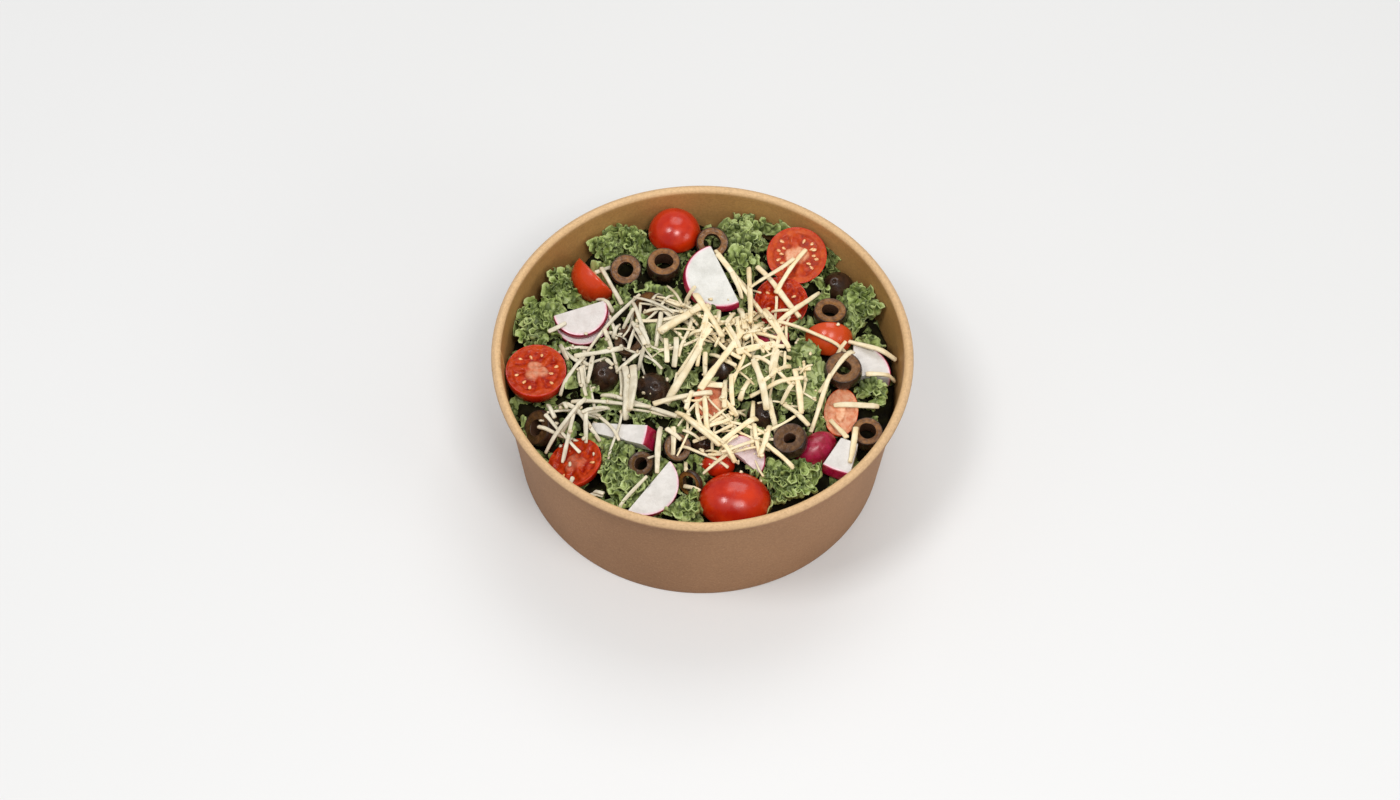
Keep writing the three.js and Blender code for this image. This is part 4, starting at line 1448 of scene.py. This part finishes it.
# Middle of each in the picture, and its reach in mm. They curl half as much as the others.
YOUNG_LEAVES = (
    (811, 354, 7), (815, 380, 9), (808, 402, 8), (770, 372, 10), (748, 386, 9), (664, 346, 10),
    (786, 392, 8), (700, 352, 8),
)
for across, down, reach in YOUNG_LEAVES:
    place = seen_at((across, down), YOUNG_HEIGHT)
    lay_leaf(bunch_for(place), place, heap_top(place[0], place[1]) + 4.6, reach, chance.uniform(2.4, 3.4),
             cup=0.12, lean=chance.uniform(0.1, 0.4), heading=chance.uniform(0, 2 * math.pi),
             tone=YOUNG_TONE, frill=0.5, rows=9)

# %% Fill the rest
FILL_TRIES = 1800
FILL_GAP = 8.2  # mm between the middles of leaves
FILL_REACH = 81  # mm from the axis, at most
DARK_GAPS = ((852, 276), (533, 427), (598, 512))  # pixels where the picture looks deep in
DARK_GAP_HEIGHT = 54  # mm above the table
DARK_GAP_RADIUS = 8
DENSE_CHEESE_PIXEL = (725, 380)
DENSE_CHEESE_HALF_SIZE = (26, 40)  # mm
gap_places = [seen_at(pixel, DARK_GAP_HEIGHT)[:2] for pixel in DARK_GAPS]
under_cheese = seen_at(DENSE_CHEESE_PIXEL, YOUNG_HEIGHT)[:2]
filled = 0
for _ in range(FILL_TRIES):
    distance = FILL_REACH * math.sqrt(chance.random())
    turn_to = chance.uniform(0, 2 * math.pi)
    place = np.array([distance * math.cos(turn_to), distance * math.sin(turn_to)])
    if min(np.hypot(*(place - other)) for other in laid) < FILL_GAP:
        continue
    # No leaf is laid in these gaps, so the core's painted shade shows there.
    if min(np.hypot(*(place - gap)) for gap in gap_places) < DARK_GAP_RADIUS:
        continue
    covered = np.hypot(*((place - under_cheese) / DENSE_CHEESE_HALF_SIZE)) < 1  # coarser leaves will do
    detail = {"rows": 7, "pitch": 0.8} if covered else {"rows": 9, "pitch": 0.55}
    # The fill leaves lie lower, and their tone is lowered towards the deeper green as painted shade.
    if lay_leaf(bunch_for(place), place, heap_top(*place) - chance.uniform(0.5, 3.5),
                chance.uniform(6.5, 9.0), chance.uniform(2.8, 5.0), chance.uniform(0.3, 0.8),
                chance.uniform(0, 0.6), chance.uniform(0, 2 * math.pi), leaf_tone(place) * 0.7, **detail):
        laid.append(place)
        filled += 1
print("leaves that fill the gaps:", filled)

# %% Kale finish
kale, tree, shader = new_finish("kale_leaf")
edge, crest = trait(tree, "edge"), trait(tree, "crest")
green = clouded(tree, 170, 2.2, (134, 152, 72), (178, 194, 118))
young = clouded(tree, 190, 2.2, (146, 158, 92), (182, 190, 132))
leaf = blend(tree, trait(tree, "tone"), green, young)
# Painted shade darkens the troughs of the waves, and a painted highlight lightens their tops.
painted_valley_shade = calculate(tree, "MULTIPLY", ramp(tree, crest, 0.55, 0.1), 0.75)
leaf = blend(tree, painted_valley_shade, leaf, srgb(50, 66, 27))
painted_crest_highlight = calculate(tree, "MULTIPLY", ramp(tree, crest, 0.6, 0.95), 0.5)
leaf = blend(tree, painted_crest_highlight, leaf, srgb(200, 212, 148))
leaf = blend(tree, ramp(tree, edge, 0.14, 0.0), leaf, srgb(182, 192, 138))
wet = damp(tree, 300, 0.3, 0.6)
veins = bumps(tree, 900)
dress(tree, shader, leaf, wet, height=veins, depth=0.2)

kale_shade, tree, shader = new_finish("kale_in_shade")
# The core's near-black colour is painted shade.
painted_shade_green = clouded(tree, 150, 2.4, (16, 12, 7), (38, 36, 17))
wet = damp(tree, 300, 0.7, 0.95)
veins = bumps(tree, 400)
dress(tree, shader, painted_shade_green, wet, height=veins, depth=0.3,
      Specular_IOR_Level=0.08)

kale_core = core.piece("kale_core", "kale_leaf", [kale_shade], "kale")
for number, bunch in enumerate(kale_bunches, 1):
    curls = bunch.piece(f"kale_curls_{number}", "kale_leaf", [kale], "kale")
    print(curls.name, triangle_count(curls), "triangles")
print(kale_core.name, triangle_count(kale_core), "triangles")

# %% [markdown]
# ## Shredded cheese
# A shred of cheese is a stiff little stick with soft corners. Laid on a heap, a stiff stick
# rests on two high points, one on each side of its middle, and its ends may stand free. A soft
# one would follow every bump. These do mostly the first and a little of the second. Each shred
# raises the map where it lies, so that the next one crosses over it.

# %% How a shred rests
SINK = 0.9  # mm that a shred sinks between the frills of a leaf
STIFFNESS = 0.6
surface = np.maximum(topping_over, spread_out(leaf_over, 1, np.maximum) - SINK)
map_line = np.arange(map_size) * CELL - MAP_REACH
lowest = heap_top(map_line[:, None], map_line[None, :]) - CORE_BELOW + 1.0
surface = np.where(np.isfinite(surface), surface, lowest)


def resting(profile):
    """Heights of a stick that is laid over a profile."""
    hull = [0]
    for step in range(1, len(profile)):
        while len(hull) > 1:
            first, second = hull[-2], hull[-1]
            rise = (profile[step] - profile[first]) * (second - first)
            if rise < (profile[second] - profile[first]) * (step - first):
                break
            hull.pop()
        hull.append(step)
    steps = np.arange(len(profile))
    over = np.interp(steps, hull, profile[hull])
    right = next(step for step in hull if step >= len(profile) / 2)
    left = hull[hull.index(right) - 1]
    slope = (profile[right] - profile[left]) / (right - left)
    straight = profile[left] + slope * (steps - left)
    heights = STIFFNESS * straight + (1 - STIFFNESS) * over
    around = max(2, len(profile) // 8)
    padded = np.pad(heights, around, "reflect", reflect_type="odd")
    return np.convolve(padded, np.ones(2 * around + 1) / (2 * around + 1), "valid")


print("a stick over a bump:", resting(np.array([0, 0, 2, 4, 2, 0, 0, 0, 1.0])).round(1))

# %% Shape of a shred
SHRED_CORNERS = 8
corner_turn = (np.arange(SHRED_CORNERS) + 0.5) / SHRED_CORNERS * 2 * math.pi
corner_across = np.sign(np.cos(corner_turn)) * np.abs(np.cos(corner_turn)) ** 0.55
corner_up = np.sign(np.sin(corner_turn)) * np.abs(np.sin(corner_turn)) ** 0.55
RING_PITCH = 2.0  # mm
shreds = Gather("tone", "end")


def lay_shred(start, end, width, tone, bow):
    """One shred from start to end (x and y in mm), on top of all that lies there so far."""
    length = float(np.hypot(*(end - start)))
    share = np.linspace(0, 1, max(9, int(length / 0.4)))
    ahead = (end - start) / length
    side = np.array([-ahead[1], ahead[0]])
    bend = length * (chance.uniform(-bow, bow) * np.sin(math.pi * share)
                     + chance.uniform(-bow, bow) * 0.3 * np.sin(2 * math.pi * share))
    track = start + np.outer(share, end - start) + np.outer(bend, side)
    reach = np.hypot(track[:, 0], track[:, 1])
    track *= np.minimum(1, (MOUTH_RADIUS - 2.5) / np.maximum(reach, 1e-6))[:, None]
    lanes = [track + side * across for across in (-0.4 * width, 0.0, 0.4 * width)]
    thickness = width * chance.uniform(0.4, 0.72)
    heights = resting(np.max([surface[cells_at(lane)] for lane in lanes], 0)) + 0.4 * thickness
    heights = np.minimum(heights, BOWL_HEIGHT - 1.5 - thickness)
    for lane in lanes:
        np.maximum.at(surface, cells_at(lane), heights + 0.4 * thickness)
    inner = np.linspace(1, len(share) - 2, max(4, int(length / RING_PITCH))).round().astype(int)
    kept = np.concatenate([[0], inner, [len(share) - 1]])
    middle = np.concatenate([track, heights[:, None]], 1)[kept]
    along = np.gradient(middle, axis=0)
    along /= np.linalg.norm(along, axis=1, keepdims=True)
    twist = chance.uniform(-0.5, 0.5) + np.linspace(0, chance.uniform(-0.9, 0.9), len(kept))
    flat_side = np.stack([-along[:, 1], along[:, 0], 0 * along[:, 0]], 1)
    flat_side /= np.linalg.norm(flat_side, axis=1, keepdims=True)
    upright = np.cross(along, flat_side)
    across = flat_side * np.cos(twist)[:, None] + upright * np.sin(twist)[:, None]
    upright = np.cross(along, across)
    part = np.linspace(0, 1, len(kept))
    wide = width / 2 * (1 + wander(part, 0.24, 5))
    thick = thickness / 2 * (1 + wander(part, 0.2, 5))
    wide[[0, -1]] *= 0.72
    thick[[0, -1]] *= 0.72
    rings = (middle[:, None] + across[:, None] * (corner_across * wide[:, None])[..., None]
             + upright[:, None] * (corner_up * thick[:, None])[..., None])
    points, *faces = skin_over(rings)
    ends = with_ends(np.repeat(np.abs(2 * part - 1), SHRED_CORNERS).reshape(len(kept), -1) ** 4)
    shreds.add(points, *faces, tone=tone, end=ends)


# %% [markdown]
# The shreds that stand out are laid last, each by the pixels of its two ends. Before them the
# others fill the same drifts: dense ones from the middle to the right, and thinner, paler ones
# on the left, where the cheese has no yellow left in it.

# %% Shreds by their ends
SHRED_HEIGHT = 61  # mm above the table, about where the cheese lies
# Across and down of one end and of the other, in pixels.
SHREDS_LEFT = (
    (640, 292, 586, 350), (633, 304, 648, 350), (632, 325, 645, 350), (634, 314, 623, 326),
    (619, 321, 613, 333), (604, 328, 618, 370), (574, 353, 623, 347), (593, 356, 587, 380),
    (584, 357, 560, 391), (581, 371, 586, 394), (560, 336, 568, 357), (601, 391, 677, 418),
    (571, 397, 651, 410), (608, 408, 583, 418), (586, 403, 561, 428), (561, 428, 580, 448),
    (574, 418, 563, 453), (621, 366, 621, 397), (630, 366, 630, 397), (645, 353, 616, 370),
    (644, 354, 638, 365), (661, 319, 656, 344), (634, 300, 674, 321), (606, 357, 613, 364),
    (586, 417, 586, 440), (545, 415, 560, 430), (545, 442, 578, 413), (568, 437, 562, 455),
    (558, 393, 567, 413), (548, 403, 555, 418), (575, 485, 603, 490), (573, 473, 567, 482),
    (610, 408, 582, 420), (647, 474, 617, 508), (590, 483, 604, 490), (684, 477, 700, 488),
    (640, 331, 649, 350), (656, 349, 661, 320), (595, 267, 611, 256), (601, 262, 622, 298),
    (597, 298, 613, 310), (548, 330, 566, 322),
)
SHREDS_RIGHT = (
    (715, 250, 749, 286), (717, 258, 764, 315), (749, 265, 750, 331), (757, 264, 800, 315),
    (806, 250, 776, 292), (794, 260, 750, 291), (820, 284, 777, 324), (764, 305, 789, 357),
    (777, 330, 847, 346), (846, 342, 832, 354), (732, 276, 742, 297), (740, 306, 745, 337),
    (755, 304, 772, 332), (710, 352, 736, 372), (705, 357, 706, 379), (709, 309, 702, 344),
    (719, 312, 717, 329), (724, 330, 737, 356), (737, 325, 740, 347), (762, 327, 744, 347),
    (690, 321, 709, 311), (779, 345, 772, 370), (853, 353, 819, 394), (690, 365, 711, 337),
    (752, 367, 761, 380), (734, 315, 726, 330), (772, 307, 789, 312), (726, 331, 740, 357),
    (763, 320, 789, 358), (750, 396, 803, 386), (777, 360, 771, 386), (769, 397, 777, 426),
    (794, 377, 801, 417), (784, 404, 809, 429), (830, 380, 811, 427), (749, 384, 740, 401),
    (720, 397, 737, 417), (726, 377, 724, 411), (731, 377, 733, 409), (704, 400, 709, 439),
    (757, 419, 720, 447), (754, 429, 759, 456), (770, 429, 759, 460), (766, 451, 794, 467),
    (703, 386, 723, 387), (703, 341, 697, 369), (706, 320, 701, 339), (849, 337, 897, 353),
    (866, 370, 896, 370), (834, 399, 880, 399), (831, 411, 847, 437), (856, 426, 850, 461),
    (781, 403, 794, 391), (653, 407, 712, 394), (676, 411, 735, 465), (666, 343, 667, 366),
    (676, 343, 674, 369), (693, 391, 686, 413), (661, 424, 657, 472), (686, 456, 686, 470),
    (673, 429, 673, 451), (666, 431, 681, 440), (684, 420, 720, 453),
)
SHREDS_BROAD = (
    (700, 313, 659, 339), (666, 397, 700, 354), (736, 360, 775, 352), (753, 369, 767, 410),
    (695, 300, 722, 345), (742, 338, 700, 392), (624, 364, 626, 418), (633, 366, 630, 414),
)


def shred_tone(place):
    """From 0, grey and pale on the left, to 1, the cheese's own cream."""
    return float(np.clip(smooth(-34, 4, place[0]) * 0.95 + chance.uniform(-0.3, 0.1), 0, 1))


def lay_seen(ends, width):
    start = seen_at(ends[:2], SHRED_HEIGHT)[:2]
    end = seen_at(ends[2:], SHRED_HEIGHT)[:2]
    lay_shred(start, end, width, shred_tone((start + end) / 2), bow=0.03)


# %% Lay the fill, then the shreds that stand out
# Middle of each drift in the picture, its half width and height in pixels, and how many
# shreds fall there.
DRIFTS = (
    ((732, 322), (38, 34), 26), ((726, 420), (32, 40), 24), ((775, 350), (50, 44), 14),
    ((690, 345), (40, 36), 12), ((790, 400), (40, 34), 8), ((600, 380), (52, 42), 11),
    ((655, 410), (50, 34), 7), ((575, 430), (30, 26), 4), ((625, 335), (36, 28), 6),
    ((745, 455), (42, 24), 5), ((681, 306), (22, 16), 15), ((742, 335), (28, 24), 12),
)
PIXELS_PER_MM = 2.3  # about, at the height of the cheese
LONG_SHARE = 0.7
LONG_SHREDS, SHORT_SHREDS = (12, 28), (6, 11)  # mm
FILL_WIDTHS = (0.9, 1.9)
# Toppings that the fill keeps off: middle and radius in pixels.
KEPT_CLEAR = (
    (700, 262, 26), (718, 290, 22), (795, 250, 32), (535, 372, 32), (602, 372, 15), (656, 386, 17),
    (578, 318, 26), (588, 284, 22), (838, 372, 18), (850, 412, 24), (620, 268, 18), (662, 262, 18),
    (575, 462, 20), (814, 350, 12), (816, 390, 14), (690, 378, 12), (792, 446, 16), (822, 446, 16),
    (632, 432, 14), (645, 335, 10), (810, 310, 16), (706, 306, 13), (724, 308, 13), (740, 302, 9),
    (706, 360, 13), (718, 372, 9), (746, 300, 9),
)
clear_places = [(seen_at((across, down), SHRED_HEIGHT)[:2], reach / PIXELS_PER_MM)
                for across, down, reach in KEPT_CLEAR]
for middle_of, half_size, count in DRIFTS:
    laid_here = 0
    while laid_here < count:
        offset = np.clip(chance.normal(0, 0.55, 2), -1.2, 1.2)
        place = seen_at(np.array(middle_of) + offset * np.array(half_size), SHRED_HEIGHT)[:2]
        lengths = LONG_SHREDS if chance.random() < LONG_SHARE else SHORT_SHREDS
        length = chance.uniform(*lengths)
        turn_to = chance.uniform(0, math.pi)
        half = np.array([math.cos(turn_to), math.sin(turn_to)]) * length / 2
        along_it = [place + half * share for share in (-1, -0.5, 0, 0.5, 1)]
        if any(np.hypot(*(spot - middle)) < reach for spot in along_it for middle, reach in clear_places):
            continue
        width = chance.uniform(*FILL_WIDTHS)
        lay_shred(place - half, place + half, width, shred_tone(place), bow=0.08)
        laid_here += 1
for seen_shreds, widths in ((SHREDS_LEFT, (1.5, 2.1)), (SHREDS_RIGHT, (1.8, 2.5)),
                            (SHREDS_BROAD, (2.9, 3.5))):
    for ends in seen_shreds:
        lay_seen(ends, chance.uniform(*widths))
print("shreds laid:", len(shreds.points))

# %% [markdown]
# Where shreds break, crumbs fall off them. They are small lumps, each with its own shape, and
# they lie on the map as the shreds do.

# %% Crumbs
CRUMB_COUNT = 190
CRUMB_ROWS = 5
CRUMB_COLUMNS = 9
CRUMB_SIZES = (0.4, 1.0)  # mm
crumbs = Gather("tone", "end")
crumb_turn = full_turn(CRUMB_COLUMNS)
crumb_tilt = np.linspace(-1.1, 1.1, CRUMB_ROWS)[:, None]


def drop_crumb(place, size):
    radius = size * (1 + 0.25 * chance.normal(0, 1, (CRUMB_ROWS, CRUMB_COLUMNS)).clip(-1.3, 1.3))
    stretch = chance.uniform(0.6, 1.4, 3) * np.array([1, 1, 0.7])
    rings = np.stack([np.cos(crumb_tilt) * np.cos(crumb_turn), np.cos(crumb_tilt) * np.sin(crumb_turn),
                      np.sin(crumb_tilt) + 0 * crumb_turn], -1) * radius[..., None] * stretch
    rings[..., :2] += place
    rings[..., 2] += surface[cells_at(place)] + 0.5 * size
    points, *faces = skin_over(rings)
    crumbs.add(points, *faces, tone=shred_tone(place), end=chance.random())


for _ in range(CRUMB_COUNT):
    middle_of, half_size, _ = DRIFTS[chance.integers(len(DRIFTS))]
    offset = chance.normal(0, 0.5, 2)
    place = seen_at(np.array(middle_of) + offset * np.array(half_size), SHRED_HEIGHT)[:2]
    drop_crumb(place, chance.uniform(*CRUMB_SIZES))

# %% Cheese finish
cheese, tree, shader = new_finish("cheese")
cream = clouded(tree, 230, 2.2, (240, 216, 167), (252, 238, 201))
grey = clouded(tree, 230, 2.2, (202, 192, 168), (230, 222, 200))
both = blend(tree, trait(tree, "tone"), grey, cream)
dried = blend(tree, calculate(tree, "MULTIPLY", trait(tree, "end"), 0.35), both, srgb(224, 188, 132))
wet = damp(tree, 360, 0.38, 0.62)
crumbly = bumps(tree, 900)
dress(tree, shader, dried, wet, height=crumbly, depth=0.12)

cheese_shreds = shreds.piece("cheese_shreds", "cheese", [cheese])
cheese_crumbs = crumbs.piece("cheese_crumbs", "cheese", [cheese])
for made in (cheese_shreds, cheese_crumbs):
    print(made.name, triangle_count(made), "triangles")

# %% [markdown]
# ## Pieces and triangles
# The pieces that are shown, all but the floor, are counted with their triangles.

# %% Count the pieces
shown = [o for o in bpy.data.objects if o.type == "MESH" and not o.hide_render and o is not floor]
print("pieces:", len(shown), "triangles:", sum(triangle_count(o) for o in shown))
